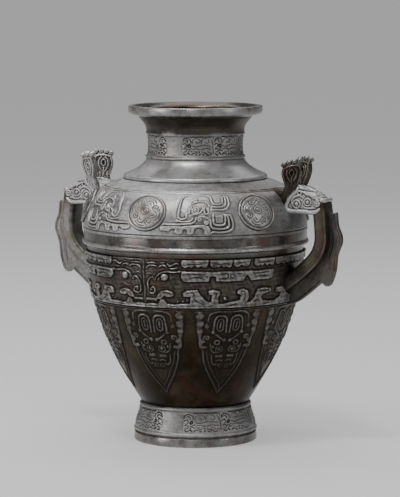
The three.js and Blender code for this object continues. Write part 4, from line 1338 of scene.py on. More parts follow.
@dataclass
class Whorls:
    """A ring round the edge of a roundel and cut curls that chase each other inside it."""

    radius: float = 21.6
    curls: int = 4
    rise: float = 0.9
    cut: float = 0.7
    line: float = 1.15

    def draw(self, relief: Relief) -> None:
        """Carve the disc.

        Args:
            relief: The relief that it is carved in.
        """
        turns = np.radians(np.arange(0.0, 360.0, 6.0))
        relief.plateau([(17.9 * math.cos(t), 17.9 * math.sin(t)) for t in turns], self.rise, 1.6)
        relief.ring((0.0, 0.0), self.radius - 1.3, 2.7, self.rise * 1.1)
        relief.ring((0.0, 0.0), self.radius - 3.4, 1.3, self.rise * 0.6)
        relief.spiral((0.4, 0.8), 5.9, 2.0, 70, self.line, -self.cut)
        for index in range(self.curls):
            self._curl(relief, 360.0 * index / self.curls + 24.0)

    def _curl(self, relief: Relief, bearing: float) -> None:
        """Cut one curl with its trailing lines.

        Args:
            relief: The disc.
            bearing: Direction of its eye, in degrees from the right.
        """
        def spot(turn: float, reach: float) -> Point:
            """A point by bearing from the eye's and distance from the centre."""
            angle = math.radians(bearing + turn)
            return reach * math.cos(angle), reach * math.sin(angle)

        relief.spiral(spot(0.0, 11.8), 4.3, -1.6, bearing - 40.0, self.line, -self.cut)
        for line in ([(21, 14.2), (38, 15.8), (58, 16.0), (70, 15.2)],
                     [(24, 11.4), (36, 13.0), (50, 13.4), (62, 11.8), (66, 9.6)],
                     [(30, 8.6), (42, 10.2), (52, 9.6)]):
            relief.ridge([spot(*place) for place in line], self.line, -self.cut, (0.6, 0.5))


# Roundels


@dataclass
class Roundel:
    """An applied disc on the shoulder, carved with whorls."""

    number: int
    bearing: float
    wall_line: Line
    height: float = 254.5
    radius: float = 21.6
    rim_rise: float = -0.9
    centre_rise: float = 2.7
    edge: float = 2.4
    stretch: Point = (1.04, 0.93)
    sunk_in: float = 1.2
    slope_reach: float = 4.0
    search: Point = (-8.0, 10.0)
    # Wear and painted highlight on the raised whorls, dirt and painted shade on the low ground and
    # on the disc's side and back.
    wear_highlight_from: float = 0.5
    wear_highlight_rate: float = 1.6
    dirt_shade_ground: float = 1.25
    dirt_shade_rate: float = 1.7
    dirt_shade_edge: float = 0.6
    flank: float = -3.4
    back: float = -6.0
    paleness: float = 0.46
    spacing: float = 0.5
    steps: int = 144
    halvings: int = 24
    whorls: Whorls = field(default_factory=Whorls)

    def build(self) -> None:
        """Turn, carve, place and dress the disc."""
        bm = bmesh.new()
        side = [(self.radius, height) for height in (self.rim_rise - self.edge, self.flank)]
        back = [(self.radius * share, self.back) for share in (1.0, 0.66, 0.33, 0.0)]
        line = [bm.verts.new((r * MM, 0.0, z * MM))
                for r, z in [*spread(self._crown(), self.spacing), *side, *back]]
        edges = [bm.edges.new(pair) for pair in zip(line, line[1:])]
        bmesh.ops.spin(bm, geom=[*line, *edges], axis=(0, 0, 1), cent=(0, 0, 0), dvec=(0, 0, 0),
                       angle=2 * math.pi, steps=self.steps, use_merge=True)
        bmesh.ops.remove_doubles(bm, verts=bm.verts, dist=20 * WELD)
        name = f"roundel_{self.number}"
        mesh = mesh_of(bm, name)
        self._carve(mesh)
        finish_piece(mesh, name, Finish.ROUNDEL)

    def _crown(self) -> Line:
        """The domed front from the middle out, with its rounded edge.

        Returns:
            Radius and height of its points.
        """
        flat = self.radius - 1.9
        dome = bezier((0.0, self.centre_rise), (flat * 0.45, self.centre_rise),
                      (flat * 0.75, self.rim_rise + 0.5), (flat, self.rim_rise), 24)
        rim = bezier((flat, self.rim_rise), (self.radius - 0.6, self.rim_rise),
                     (self.radius, self.rim_rise - 0.7),
                     (self.radius, self.rim_rise - self.edge), 6)
        return [*dome, *rim[1:]]

    def _carve(self, mesh: bpy.types.Mesh) -> None:
        """Raise the whorls, lay the back in the wall and stand the disc on the shoulder.

        Args:
            mesh: The turned disc, flat on its back.
        """
        place = positions(mesh)
        front = place[:, 2] > self.rim_rise - self.edge + 0.05
        relief = Relief(place[:, 0], place[:, 1], lambda v: np.ones_like(v))
        self.whorls.draw(relief)
        rise = np.where(front, relief.total(), 0.0)
        place[:, 2] += rise
        place[:, :2] *= self.stretch
        worn_highlight = np.clip((rise - self.wear_highlight_from) * self.wear_highlight_rate, 0.0, 1.0)
        dirt_shade = np.clip(self.dirt_shade_ground - rise * self.dirt_shade_rate, 0.0, 1.0)
        set_numbers(mesh, "raised", worn_highlight)
        # The disc's side and back are darkened: dirt and painted shade at its edge.
        set_numbers(mesh, "sunk", np.where(front, dirt_shade, self.dirt_shade_edge))
        set_numbers(mesh, "pale", np.full(len(place), self.paleness))
        seat, tilt = self._seat()
        turn = math.radians(self.bearing - 90.0)
        stand = Matrix.Rotation(turn, 3, "Z") @ Matrix.Rotation(math.pi / 2 - tilt, 3, "Y")
        stand = stand @ Matrix.Rotation(math.pi / 2, 3, "Z")
        matrix = np.array(stand)
        middle = np.array([seat * math.cos(turn), seat * math.sin(turn), self.height])
        outward = matrix @ np.array([0.0, 0.0, 1.0])
        stood = place @ matrix.T + middle
        deep = place[:, 2] < self.flank + 0.1
        stood[deep] = self._sunk(stood[deep], outward)
        move_to(mesh, stood)

    def _seat(self) -> tuple[float, float]:
        """Radius and slope of the shoulder behind the disc's middle.

        Returns:
            The radius, and the slope in radians.
        """
        reach = self.slope_reach
        above, middle, below = (float(radius_at(self.wall_line, self.height + rise))
                                for rise in (reach, 0.0, -reach))
        return middle, math.atan2(below - above, 2 * reach)

    def _sunk(self, points: np.ndarray, outward: np.ndarray) -> np.ndarray:
        """Move points along the disc's axis until they lie just inside the wall.

        Args:
            points: Points behind the disc.
            outward: Direction of its axis.

        Returns:
            The moved points.
        """
        low, high = (np.full(len(points), end) for end in self.search)
        for _ in range(self.halvings):
            middle = (low + high) / 2
            test = points + middle[:, None] * outward
            wall = radius_at(self.wall_line, test[:, 2]) - self.sunk_in
            out = np.hypot(test[:, 0], test[:, 1]) > wall
            high = np.where(out, middle, high)
            low = np.where(out, low, middle)
        return points + low[:, None] * outward


# Cast pieces


def loft(bm: bmesh.types.BMesh, rings: np.ndarray) -> None:
    """Join rings of points to one closed skin, by growing the first ring's edges.

    Args:
        bm: Mesh that it is added to.
        rings: Rings by points by coordinates, in millimetres.
    """
    number = bm.verts.layers.int.new("number")
    first = [bm.verts.new(Vector(point) * MM) for point in rings[0]]
    for index, vertex in enumerate(first):
        vertex[number] = index
    edges = [bm.edges.new(pair) for pair in zip(first, [*first[1:], first[0]])]
    caps = [edges]
    for ring in rings[1:]:
        grown = bmesh.ops.extrude_edge_only(bm, edges=edges)["geom"]
        fresh = {item for item in grown if isinstance(item, bmesh.types.BMVert)}
        for vertex in fresh:
            vertex.co = Vector(ring[vertex[number]]) * MM
        edges = [item for item in grown if isinstance(item, bmesh.types.BMEdge)
                 and set(item.verts) <= fresh]
    for cap in (*caps, edges):
        bmesh.ops.contextual_create(bm, geom=cap)
    bm.verts.layers.int.remove(number)


def neighbour_mean(mesh: bpy.types.Mesh, numbers: np.ndarray) -> np.ndarray:
    """Mean of each vertex's neighbours.

    Args:
        mesh: The mesh.
        numbers: One number or one row of them for each vertex.

    Returns:
        The means, in the same shape.
    """
    pairs = np.empty(len(mesh.edges) * 2, dtype=np.int32)
    mesh.edges.foreach_get("vertices", pairs)
    pairs = pairs.reshape(-1, 2)
    total = np.zeros_like(numbers)
    count = np.zeros(len(numbers))
    for a, b in ((0, 1), (1, 0)):
        np.add.at(total, pairs[:, a], numbers[pairs[:, b]])
        np.add.at(count, pairs[:, a], 1.0)
    count = np.maximum(count, 1.0)
    return total / (count[:, None] if numbers.ndim > 1 else count)


NARROW_ROUNDS, WIDE_ROUNDS = 2, 8
# Thresholds and strengths of wear and painted highlight on bulges, and of dirt and painted shade in
# hollows.
BULGE, BULGE_WEAR_HIGHLIGHT = 0.10, 1.6
HOLLOW, HOLLOW_DIRT_SHADE, WIDE_DIRT_SHADE = 0.02, 2.4, 0.5


def mark_by_shape(mesh: bpy.types.Mesh, wear_and_highlight: float = 1.0, dirt_and_shade: float = 1.0) -> None:
    """Store wear and painted highlight on what bulges, and dirt and painted shade in what is
    hollow.

    Args:
        mesh: The mesh.
        wear_and_highlight: Strength of the wear and painted highlight.
        dirt_and_shade: Strength of the dirt and painted shade.
    """
    place = positions(mesh)
    normals = np.empty(len(mesh.vertices) * 3, dtype=np.float32)
    mesh.vertex_normals.foreach_get("vector", normals)
    normals = normals.reshape(-1, 3)
    mean = neighbour_mean(mesh, place)
    step = np.median(np.linalg.norm(neighbour_mean(mesh, place**2) - mean**2, axis=1)) + 1e-6
    bend = ((place - mean) * normals).sum(axis=1) / step
    for _ in range(NARROW_ROUNDS):
        bend = (bend + neighbour_mean(mesh, bend)) / 2
    wide = bend
    for _ in range(WIDE_ROUNDS):
        wide = (wide + neighbour_mean(mesh, wide)) / 2
    set_numbers(mesh, "raised", np.clip((bend - BULGE) * BULGE_WEAR_HIGHLIGHT * wear_and_highlight, 0.0, 1.0))
    dirt_shade = (-bend - HOLLOW) * HOLLOW_DIRT_SHADE * dirt_and_shade - WIDE_DIRT_SHADE * wide
    set_numbers(mesh, "sunk", np.clip(dirt_shade, 0.0, 1.0))


class Melt:
    """Lumps of metal that overlap and are cast into one skin."""

    def __init__(self) -> None:
        """Start with nothing in the mould."""
        self.bm = bmesh.new()

    def _pour(self, lump: bmesh.types.BMesh) -> None:
        """Add a lump to the mould, and free it.

        Args:
            lump: The lump.
        """
        mesh = bpy.data.meshes.new("lump")
        lump.to_mesh(mesh)
        lump.free()
        self.bm.from_mesh(mesh)
        bpy.data.meshes.remove(mesh)

    def skin(self, rings: np.ndarray) -> None:
        """Add a closed skin over rings of points.

        Args:
            rings: Rings by points by coordinates, in millimetres.
        """
        lump = bmesh.new()
        loft(lump, rings)
        self._pour(lump)

    def tube(self, points: Iterable[Spot], radii: Union[float, Iterable[float]],
             sides: int = 10, smooth: bool = True) -> None:
        """Lay a round bar through points, with balls at its ends.

        Args:
            points: Points of its middle line.
            radii: One radius, or one for each point.
            sides: Sides of its section.
            smooth: Whether the line is drawn smooth.
        """
        path = np.array(list(points), dtype=float)
        sizes = np.full(len(path), radii) if isinstance(radii, (int, float)) else np.array(radii)
        if smooth and len(path) > 2:
            share = np.linspace(0.0, 1.0, len(path))
            flat = [drawn([tuple(p) for p in path[:, k]], 4) for k in ((0, 1), (0, 2))]
            path = np.array([[a[0], a[1], b[1]] for a, b in zip(*flat)])
            sizes = np.interp(np.linspace(0.0, 1.0, len(path)), share, sizes)
        along = headings(path)
        helper = np.array([0.0, 0.0, 1.0]) if abs(along[0, 2]) < 0.9 else np.array([1.0, 0, 0])
        turn = 2 * math.pi * np.arange(sides) / sides
        rings = []
        for point, heading, size in zip(path, along, sizes):
            across = np.cross(heading, helper)
            across /= np.linalg.norm(across) + TINY
            helper = np.cross(across, heading)
            ring = np.cos(turn)[:, None] * across + np.sin(turn)[:, None] * helper
            rings.append(point + size * ring)
        self.skin(np.array(rings))
        self.ball(path[0], sizes[0] * 0.99)
        self.ball(path[-1], sizes[-1] * 0.99)

    def ball(self, centre: Spot, radius: float, squash: Spot = (1.0, 1.0, 1.0)) -> None:
        """Add a ball.

        Args:
            centre: Its middle.
            radius: Its radius.
            squash: Share of the radius along each axis.
        """
        matrix = Matrix.Translation(Vector(centre) * MM) @ Matrix.Diagonal((*squash, 1.0))
        lump = bmesh.new()
        bmesh.ops.create_uvsphere(lump, u_segments=14, v_segments=9, radius=radius * MM,
                                  matrix=matrix)
        self._pour(lump)

    def hoop(self, centre: Spot, across: Spot, up: Spot, bar: float, steps: int = 20) -> None:
        """Add an oval ring.

        Args:
            centre: Its middle.
            across: One of its half axes.
            up: The other half axis.
            bar: Radius of its bar.
            steps: Pieces of its line.
        """
        turn = 2 * math.pi * np.arange(steps + 1) / steps
        line = np.array(centre) + np.cos(turn)[:, None] * np.array(across)
        self.tube(line + np.sin(turn)[:, None] * np.array(up), bar, sides=8, smooth=False)

    def plate(self, outline: Line, low: float, high: float, hole: Optional[Line] = None) -> None:
        """Add a plate that lies in the X-Z plane.

        Args:
            outline: Its outline.
            low: Where it starts along Y.
            high: Where it ends along Y.
            hole: Outline of a hole, with as many points as the plate's.
        """
        lump = bmesh.new()
        loops = []
        for line in (outline, hole or []):
            verts = [lump.verts.new((x * MM, low * MM, z * MM)) for x, z in line]
            if verts:
                pairs = zip(verts, [*verts[1:], verts[0]])
                loops.append([lump.edges.new(pair) for pair in pairs])
        if hole:
            edges = [edge for loop in loops for edge in loop]
            faces = bmesh.ops.bridge_loops(lump, edges=edges)["faces"]
        else:
            faces = bmesh.ops.contextual_create(lump, geom=loops[0])["faces"]
        grown = bmesh.ops.extrude_face_region(lump, geom=faces, use_keep_orig=True)["geom"]
        moved = [item for item in grown if isinstance(item, bmesh.types.BMVert)]
        bmesh.ops.translate(lump, verts=moved, vec=(0.0, (high - low) * MM, 0.0))
        bmesh.ops.recalc_face_normals(lump, faces=lump.faces)
        self._pour(lump)

    def cast(self, name: str, grain: float, rounds: int = 2) -> bpy.types.Mesh:
        """Cast the lumps into one skin.

        Args:
            name: Name of the mesh.
            grain: Size of its faces.
            rounds: Times that it is smoothed.

        Returns:
            The mesh.
        """
        mesh = mesh_of(self.bm, name)
        mould = put(name, mesh)
        melt = mould.modifiers.new("melt", "REMESH")
        melt.mode = "VOXEL"
        melt.voxel_size = grain * MM
        ready = mould.evaluated_get(bpy.context.evaluated_depsgraph_get())
        skin = bpy.data.meshes.new_from_object(ready)
        bpy.data.objects.remove(mould)
        bpy.data.meshes.remove(mesh)
        skin.name = name
        bm = bmesh.new()
        bm.from_mesh(skin)
        for _ in range(rounds):
            bmesh.ops.smooth_vert(bm, verts=bm.verts, factor=0.5, use_axis_x=True,
                                  use_axis_y=True, use_axis_z=True)
        bm.to_mesh(skin)
        bm.free()
        return skin


class Side(Enum):
    """The two handles, by the turn about the axis that brings the right one there."""

    RIGHT = 0.0
    LEFT = math.pi

    def node(self, kind: str) -> str:
        """Name of the solid of a kind on this side."""
        return f"{kind}_{self.name.lower()}"

    def dress(self, mesh: bpy.types.Mesh, node: str, finish: Finish,
              pale: Point = (0.3, 0.3)) -> None:
        """Turn a mesh that was made on the right to this side and finish it.

        Args:
            mesh: The mesh.
            node: The solid that it replaces.
            finish: Its finish.
            pale: How pale it is on the right and on the left; a darker right is painted shade.
        """
        right, left = pale
        mesh.transform(Matrix.Rotation(self.value, 4, "Z"))
        finish_piece(mesh, node, finish, left if self is Side.LEFT else right)


# Handles


@dataclass
class HandleArm:
    """The bar from the beast's jaw down to the frieze."""

    body: Line
    upper: tuple[Point, Point, Point, Point] = (
        (147.4, 261.5), (149.3, 249.5), (150.9, 236.0), (150.9, 225.0))
    lower: tuple[Point, Point, Point, Point] = (
        (150.9, 225.0), (150.9, 206.0), (137.9, 194.5), (104.6, 170.5))
    depth: float = 15.0
    width: float = 26.0
    squareness: float = 4.2
    bead: float = 0.55
    bead_inset: Point = (1.4, 1.2)
    bead_reach: Point = (1.3, 1.5)
    edge: float = 0.9
    # Wear and painted highlight on the corners, dirt and painted shade at the jaw and the wall.
    corner_wear_highlight: float = 1.3
    inner_wear_highlight: float = 0.45
    end_dirt_shade: float = 0.55
    sides: int = 72
    spacing: float = 1.4
    sunk_in: float = 1.5
    end_share: float = 0.14
    end_fades: Point = (0.10, 0.12)
    # The right bar is painted darker than the left, as shade.
    pale: Point = (0.08, 0.28)

    def line(self) -> Line:
        """Middle line in the X-Z plane, from the jaw down."""
        return spread([*bezier(*self.upper, 40), *bezier(*self.lower, 60)[1:]], self.spacing)

    def rings(self) -> np.ndarray:
        """Sections along the bar, with a bead along its outer corners.

        Returns:
            Rings by points by coordinates.
        """
        path = np.array(self.line())
        turn = 2 * math.pi * (np.arange(self.sides) + 0.5) / self.sides
        across = squared(np.cos(turn), self.squareness) * self.depth / 2
        aside = squared(np.sin(turn), self.squareness) * self.width / 2
        away = (np.abs(aside) - self.width / 2, across - self.depth / 2)
        beside, behind = (nearness(gap + inset, reach)
                          for gap, inset, reach in zip(away, self.bead_inset, self.bead_reach))
        corner = self.bead * beside * behind
        across = across + corner
        aside = aside * (1 + corner / (self.width / 2))
        flat = path[:, None] + leftward(path)[:, None] * across[None, :, None]
        width = np.broadcast_to(aside, flat.shape[:2])
        return np.stack([flat[..., 0], width, flat[..., 1]], axis=-1)

    def build(self, side: Side) -> None:
        """Sweep the bar and bed its foot in the wall.

        Args:
            side: Side that it is for.
        """
        node = side.node("handle_arm")
        bm = bmesh.new()
        loft(bm, self.rings())
        mesh = mesh_of(bm, node)
        move_to(mesh, bedded(positions(mesh), self.body, self.sunk_in))
        self._mark(mesh)
        side.dress(mesh, node, Finish.HANDLE, self.pale)

    def _mark(self, mesh: bpy.types.Mesh) -> None:
        """Wear and painted highlight along the corners, most on the outer ones, and dirt and
        painted shade at both ends.

        Args:
            mesh: The mesh.
        """
        place = positions(mesh)
        path = np.array(self.line())
        offset = place[:, None, [0, 2]] - path[None]
        nearest = np.linalg.norm(offset, axis=-1).argmin(axis=1)
        reach = ((place[:, [0, 2]] - path[nearest]) * leftward(path)[nearest]).sum(axis=1)
        corner = nearness(np.abs(place[:, 1]) - self.width / 2 + self.edge, self.edge)
        corner = corner * nearness(np.abs(reach) - self.depth / 2 + self.edge, 1.0)
        share = nearest / (len(path) - 1)
        ends = sum(np.clip((self.end_share - near) / fade, 0.0, 1.0)
                   for near, fade in zip((share, 1.0 - share), self.end_fades))
        worn_highlight = self.corner_wear_highlight * corner * np.where(reach > 0, 1.0, self.inner_wear_highlight) * (1 - ends)
        set_numbers(mesh, "raised", np.clip(worn_highlight, 0.0, 1.0))
        set_numbers(mesh, "sunk", np.clip(self.end_dirt_shade * ends, 0.0, 1.0))


def bedded(place: np.ndarray, body: Line, sunk_in: float, top: float = 225.0) -> np.ndarray:
    """Push points that lie deep in the wall out to just under its skin.

    Args:
        place: Points near the body.
        body: Its outer line.
        sunk_in: Depth under the skin at which they stop.
        top: Height below which it acts.

    Returns:
        The moved points.
    """
    wall = radius_at(body, place[:, 2]) - sunk_in
    reach = np.hypot(place[:, 0], place[:, 1])
    share = np.where((reach < wall) & (place[:, 2] < top), wall / np.maximum(reach, 1.0), 1.0)
    return place * np.stack([share, share, np.ones_like(share)], axis=1)


@dataclass
class HandleFin:
    """The peaked plate outside the bar, with a raised edge."""

    body: Line
    arm: HandleArm
    thickness: float = 6.0
    rim: float = 1.15
    grain: float = 0.5
    sunk_in: float = 1.2
    # The right fin is painted darker than the left, as shade.
    pale: Point = (0.14, 0.32)
    outline: Line = field(default_factory=lambda: [
        (165.9, 250.6), (166.4, 246.0), (166.9, 240.0), (168.2, 234.6), (170.9, 228.6),
        (172.0, 222.6), (171.2, 217.6), (168.8, 212.0), (166.6, 205.0), (165.9, 197.0),
        (165.0, 190.0), (162.8, 182.4), (160.3, 176.6), (157.6, 174.4), (154.9, 174.2),
        (152.6, 176.0), (149.8, 177.4), (146.4, 174.6), (140.0, 169.2), (132.4, 162.8),
        (124.0, 156.6), (117.0, 153.0), (112.0, 152.2), (108.0, 152.8)])
    vein: Line = field(default_factory=lambda: [
        (160.8, 246.0), (161.0, 236.0), (163.6, 226.0), (162.6, 216.0), (159.6, 205.0),
        (157.6, 193.0), (156.0, 182.0)])

    def build(self, side: Side) -> None:
        """Cast the plate and bed it in the wall.

        Args:
            side: Side that it is for.
        """
        node = side.node("handle_fin")
        melt = Melt()
        inner = [(x - 1.0, z) for x, z in self.arm.line() if z < 251.0]
        half = self.thickness / 2
        melt.plate([*drawn(self.outline, 4), *reversed(inner)], 0.9 - half, half - 0.9)
        for aside in (-1, 1):
            y = aside * (half - self.rim)
            melt.tube([(x - 1.1, y, z) for x, z in self.outline[:18]], self.rim)
            melt.tube([(x, y, z + 1.0) for x, z in self.outline[17:]], self.rim)
            melt.tube([(x, aside * (half - 1.2), z) for x, z in self.vein],
                      [0.5, 0.8, 0.9, 0.9, 0.9, 0.8, 0.5])
        melt.tube([(x - 0.8, 0.0, z) for x, z in self.outline[:18]], 1.3)
        mesh = melt.cast(node, self.grain, 3)
        move_to(mesh, bedded(positions(mesh), self.body, self.sunk_in))
        mark_by_shape(mesh, 1.2)
        side.dress(mesh, node, Finish.HANDLE, self.pale)


@dataclass
class BeastHead:
    """The blunt beast's head on the shoulder that bites the bar."""

    body: Line
    rear_width: float = 16.0
    snout_width: float = 13.8
    rear: float = 105.9
    snout: float = 153.4
    squareness: float = 4.6
    taper_from: float = 145.0
    taper: float = 0.32
    inset: float = 1.0
    sunk_in: float = 1.3
    grain: float = 0.46
    paleness: float = 0.80
    deepest: float = 98.0
    root_reach: float = 8.0
    root_rise: float = 0.2
    stem_edge: Line = field(default_factory=lambda: [
        (111.5, 257.0), (116.6, 266.0), (125.6, 277.0)])
    roof: Line = field(default_factory=lambda: [
        (99.0, 276.3), (105.9, 276.5), (117.4, 276.5), (124.0, 276.4), (129.4, 275.6),
        (135.4, 274.2), (141.4, 272.3), (146.8, 269.4), (150.4, 266.4), (152.6, 263.0),
        (153.4, 259.5)])
    floor: Line = field(default_factory=lambda: [
        (99.0, 250.8), (106.0, 250.8), (118.0, 250.4), (132.0, 250.6), (145.4, 250.3),
        (149.6, 251.6), (151.9, 253.8), (153.2, 257.0), (153.4, 259.5)])

    def half_width(self, x: float) -> float:
        """Half its width at a distance from the axis."""
        share = min(1.0, max(0.0, (x - self.rear) / (self.snout - self.rear)))
        return self.rear_width + (self.snout_width - self.rear_width) * share

    def build(self, side: Side) -> None:
        """Cast the head and bed its back in the shoulder.

        Args:
            side: Side that it is for.
        """
        node = side.node("beast_head")
        melt = Melt()
        melt.skin(self._skull())
        for aside in (-1, 1):
            self._cheek(melt, aside)
            self._stem(melt, aside)
        self._face(melt)
        mesh = melt.cast(node, self.grain)
        move_to(mesh, self._fitted(positions(mesh)))
        mark_by_shape(mesh, 1.4, 1.7)
        self._tone(mesh, Horn.tone(side))
        side.dress(mesh, node, Finish.BEAST)

    def _tone(self, mesh: bpy.types.Mesh, horn: float) -> None:
        """Store how pale the head is, with the horns' tone on their stems, a tone painted darker on
        the right as shade.

        Args:
            mesh: The mesh.
            horn: How pale the horns are.
        """
        place = positions(mesh)
        edge = radius_at(self.stem_edge, place[:, 2])
        stem = np.clip((edge - place[:, 0]) / 1.6 + 0.5, 0.0, 1.0)
        stem *= np.clip((np.abs(place[:, 1]) - 7.0) / 2.0, 0.0, 1.0)
        stem *= np.clip((place[:, 2] - 255.0) / 4.0, 0.0, 1.0)
        set_numbers(mesh, "pale", self.paleness + (horn - self.paleness) * stem)

    def _skull(self) -> np.ndarray:
        """Rounded sections from the shoulder to the snout.

        Returns:
            Rings by points by coordinates.
        """
        turn = 2 * math.pi * (np.arange(72) + 0.5) / 72
        y, z = (squared(wave, self.squareness) for wave in (np.cos(turn), np.sin(turn)))
        rings = []
        for x in (*np.linspace(97.0, 148.0, 30), 150.0, 151.4, 152.3, 152.9, 153.2):
            top, bottom = (float(np.interp(x, *zip(*line))) for line in (self.roof, self.floor))
            front = max(0.0, (x - self.taper_from) / (self.snout - self.taper_from))
            wide = self.half_width(x) * (1 - self.taper * front**3) - self.inset
            height = (top + bottom) / 2 + (top - bottom) / 2 * z
            rings.append(np.stack([np.full_like(y, x), wide * y, height], axis=1))
        return np.array(rings)

    def _on_cheek(self, points: Line, aside: int, proud: float = 0.0) -> list[Spot]:
        """Points of a side view, laid on a cheek."""
        return [(x, aside * (self.half_width(x) - self.inset + proud), z) for x, z in points]

    def _cheek(self, melt: Melt, aside: int) -> None:
        """Jaw border, ringed bosses and curls of one cheek.

        Args:
            melt: The mould.
            aside: Side of the head, -1 or 1.
        """
        border = [(126.6, 277.0), (124.6, 272.6), (118.6, 266.0), (114.2, 259.6), (114.0, 254.6),
                  (118.4, 252.2), (126.0, 252.3), (134.0, 252.0), (141.0, 251.4), (146.6, 252.4),
                  (150.4, 255.4)]
        melt.tube(self._on_cheek(border, aside, -0.35), [1.3, 1.6, 1.8, 2.1, 2.6, 2.5, 2.4, 2.4,
                                                         2.4, 2.2, 1.4])
        for x, z, radius in ((125.2, 259.8, 5.0), (137.6, 262.2, 4.7), (148.0, 261.0, 3.6)):
            y = aside * (self.half_width(x) - 0.7)
            melt.hoop((x, y, z), (radius - 0.9, 0, 0), (0, 0, radius - 0.9), 0.95)
            melt.ball((x, y, z), radius * 0.42, (1.0, 0.9, 1.0))
            melt.ball((x, y - aside * 0.5, z), radius * 0.86, (1.0, 0.2, 1.0))
        strokes = (
            ([(119.6, 259.4), (120.6, 264.6), (124.6, 268.2), (129.4, 268.6),
              (133.0, 266.2)], 1.15),
            ([(134.0, 271.0), (138.6, 270.4), (143.0, 268.0), (146.4, 266.2),
              (150.0, 264.4)], 1.1),
            ([(128.6, 274.0), (133.0, 272.6), (136.0, 270.6), (138.0, 267.8)], 1.0),
            ([(142.0, 270.6), (144.6, 268.8), (144.8, 266.6), (142.8, 266.2)], 0.85),
            ([(133.2, 257.4), (135.4, 256.0), (141.0, 255.8), (146.0, 256.4)], 0.8),
        )
        for line, size in strokes:
            shares = [0.55, *[1.0] * (len(line) - 2), 0.6]
            melt.tube(self._on_cheek(line, aside), [size * share for share in shares])
        melt.hoop((128.4, aside * (self.half_width(128.4) - 0.9), 271.6), (2.1, 0, 0),
                  (0, 0, 2.1), 0.8)

    def _stem(self, melt: Melt, aside: int) -> None:
        """The fluted root of a horn, which runs down the cheek to the jaw's border.

        Args:
            melt: The mould.
            aside: Side of the head, -1 or 1.
        """
        turn = math.radians(HORN_TURN)
        across, back = math.cos(turn), -aside * math.sin(turn)
        x, y, z = HORN_SEAT
        for step in (-3.7, 0.0, 3.7):
            foot = (x + step * across, aside * y + step * back, z)
            knee = (116.9 + step * 0.9, aside * 13.9 + step * back * 0.6, 271.5)
            calf = (113.4 + step * 0.6, aside * 14.3, 264.5)
            melt.tube([foot, knee, calf, (110.6 + step * 0.3, aside * 14.0, 257.0)],
                      [3.4, 3.3, 3.0, 1.8], sides=16)

    def _face(self, melt: Melt) -> None:
        """Lip roll, nostrils and brows.

        Args:
            melt: The mould.
        """
        melt.tube([(154.0, -9.0, 264.0), (154.3, 0.0, 264.4), (154.0, 9.0, 264.0)], 2.45)
        melt.tube([(148.5, -8.0, 265.6), (149.0, 0.0, 266.2), (148.5, 8.0, 265.6)], 2.2)
        for aside in (-1, 1):
            melt.ball((152.3, aside * 9.4, 264.0), 3.1, (1.0, 1.0, 0.95))
            melt.hoop((144.6, aside * 6.6, 270.3), (2.3, 0, -1.3), (0, 2.3, 0), 0.9)
            melt.tube([(124.0, aside * 12.6, 276.4), (130.0, aside * 11.2, 276.2),
                       (136.0, aside * 8.6, 274.6), (140.0, aside * 5.4, 273.2)],
                      [1.6, 1.7, 1.4, 1.0])
            melt.tube([(152.6, aside * 8.4, 256.6), (153.0, aside * 4.0, 257.2),
                       (153.2, 0.0, 257.0)], 1.1)
        melt.tube([(108.0, 0.0, 276.0), (122.0, 0.0, 276.6), (132.0, 0.0, 275.4),
                   (141.0, 0.0, 272.6)], [1.8, 2.1, 1.9, 1.2])
        for x, z in ((114.0, 277.2), (121.0, 277.5), (128.0, 276.9)):
            melt.ball((x, 0.0, z), 2.1, (1.2, 1.0, 0.8))

    def _fitted(self, place: np.ndarray) -> np.ndarray:
        """Bed the back of the cast head in the shoulder and level the horns' seats.

        Args:
            place: Positions of its points.

        Returns:
            The moved positions.
        """
        wall = np.clip(radius_at(self.body, place[:, 2]) - self.sunk_in, self.deepest, None)
        reach = np.hypot(place[:, 0], place[:, 1])
        place[:, :2] *= np.where(reach < wall, wall / np.maximum(reach, 1.0), 1.0)[:, None]
        x, y, z = HORN_SEAT
        away = np.maximum(np.abs(np.abs(place[:, 1]) - y), np.abs(place[:, 0] - x))
        root = away < self.root_reach
        place[root, 2] = np.minimum(place[root, 2], z + self.root_rise)
        return place


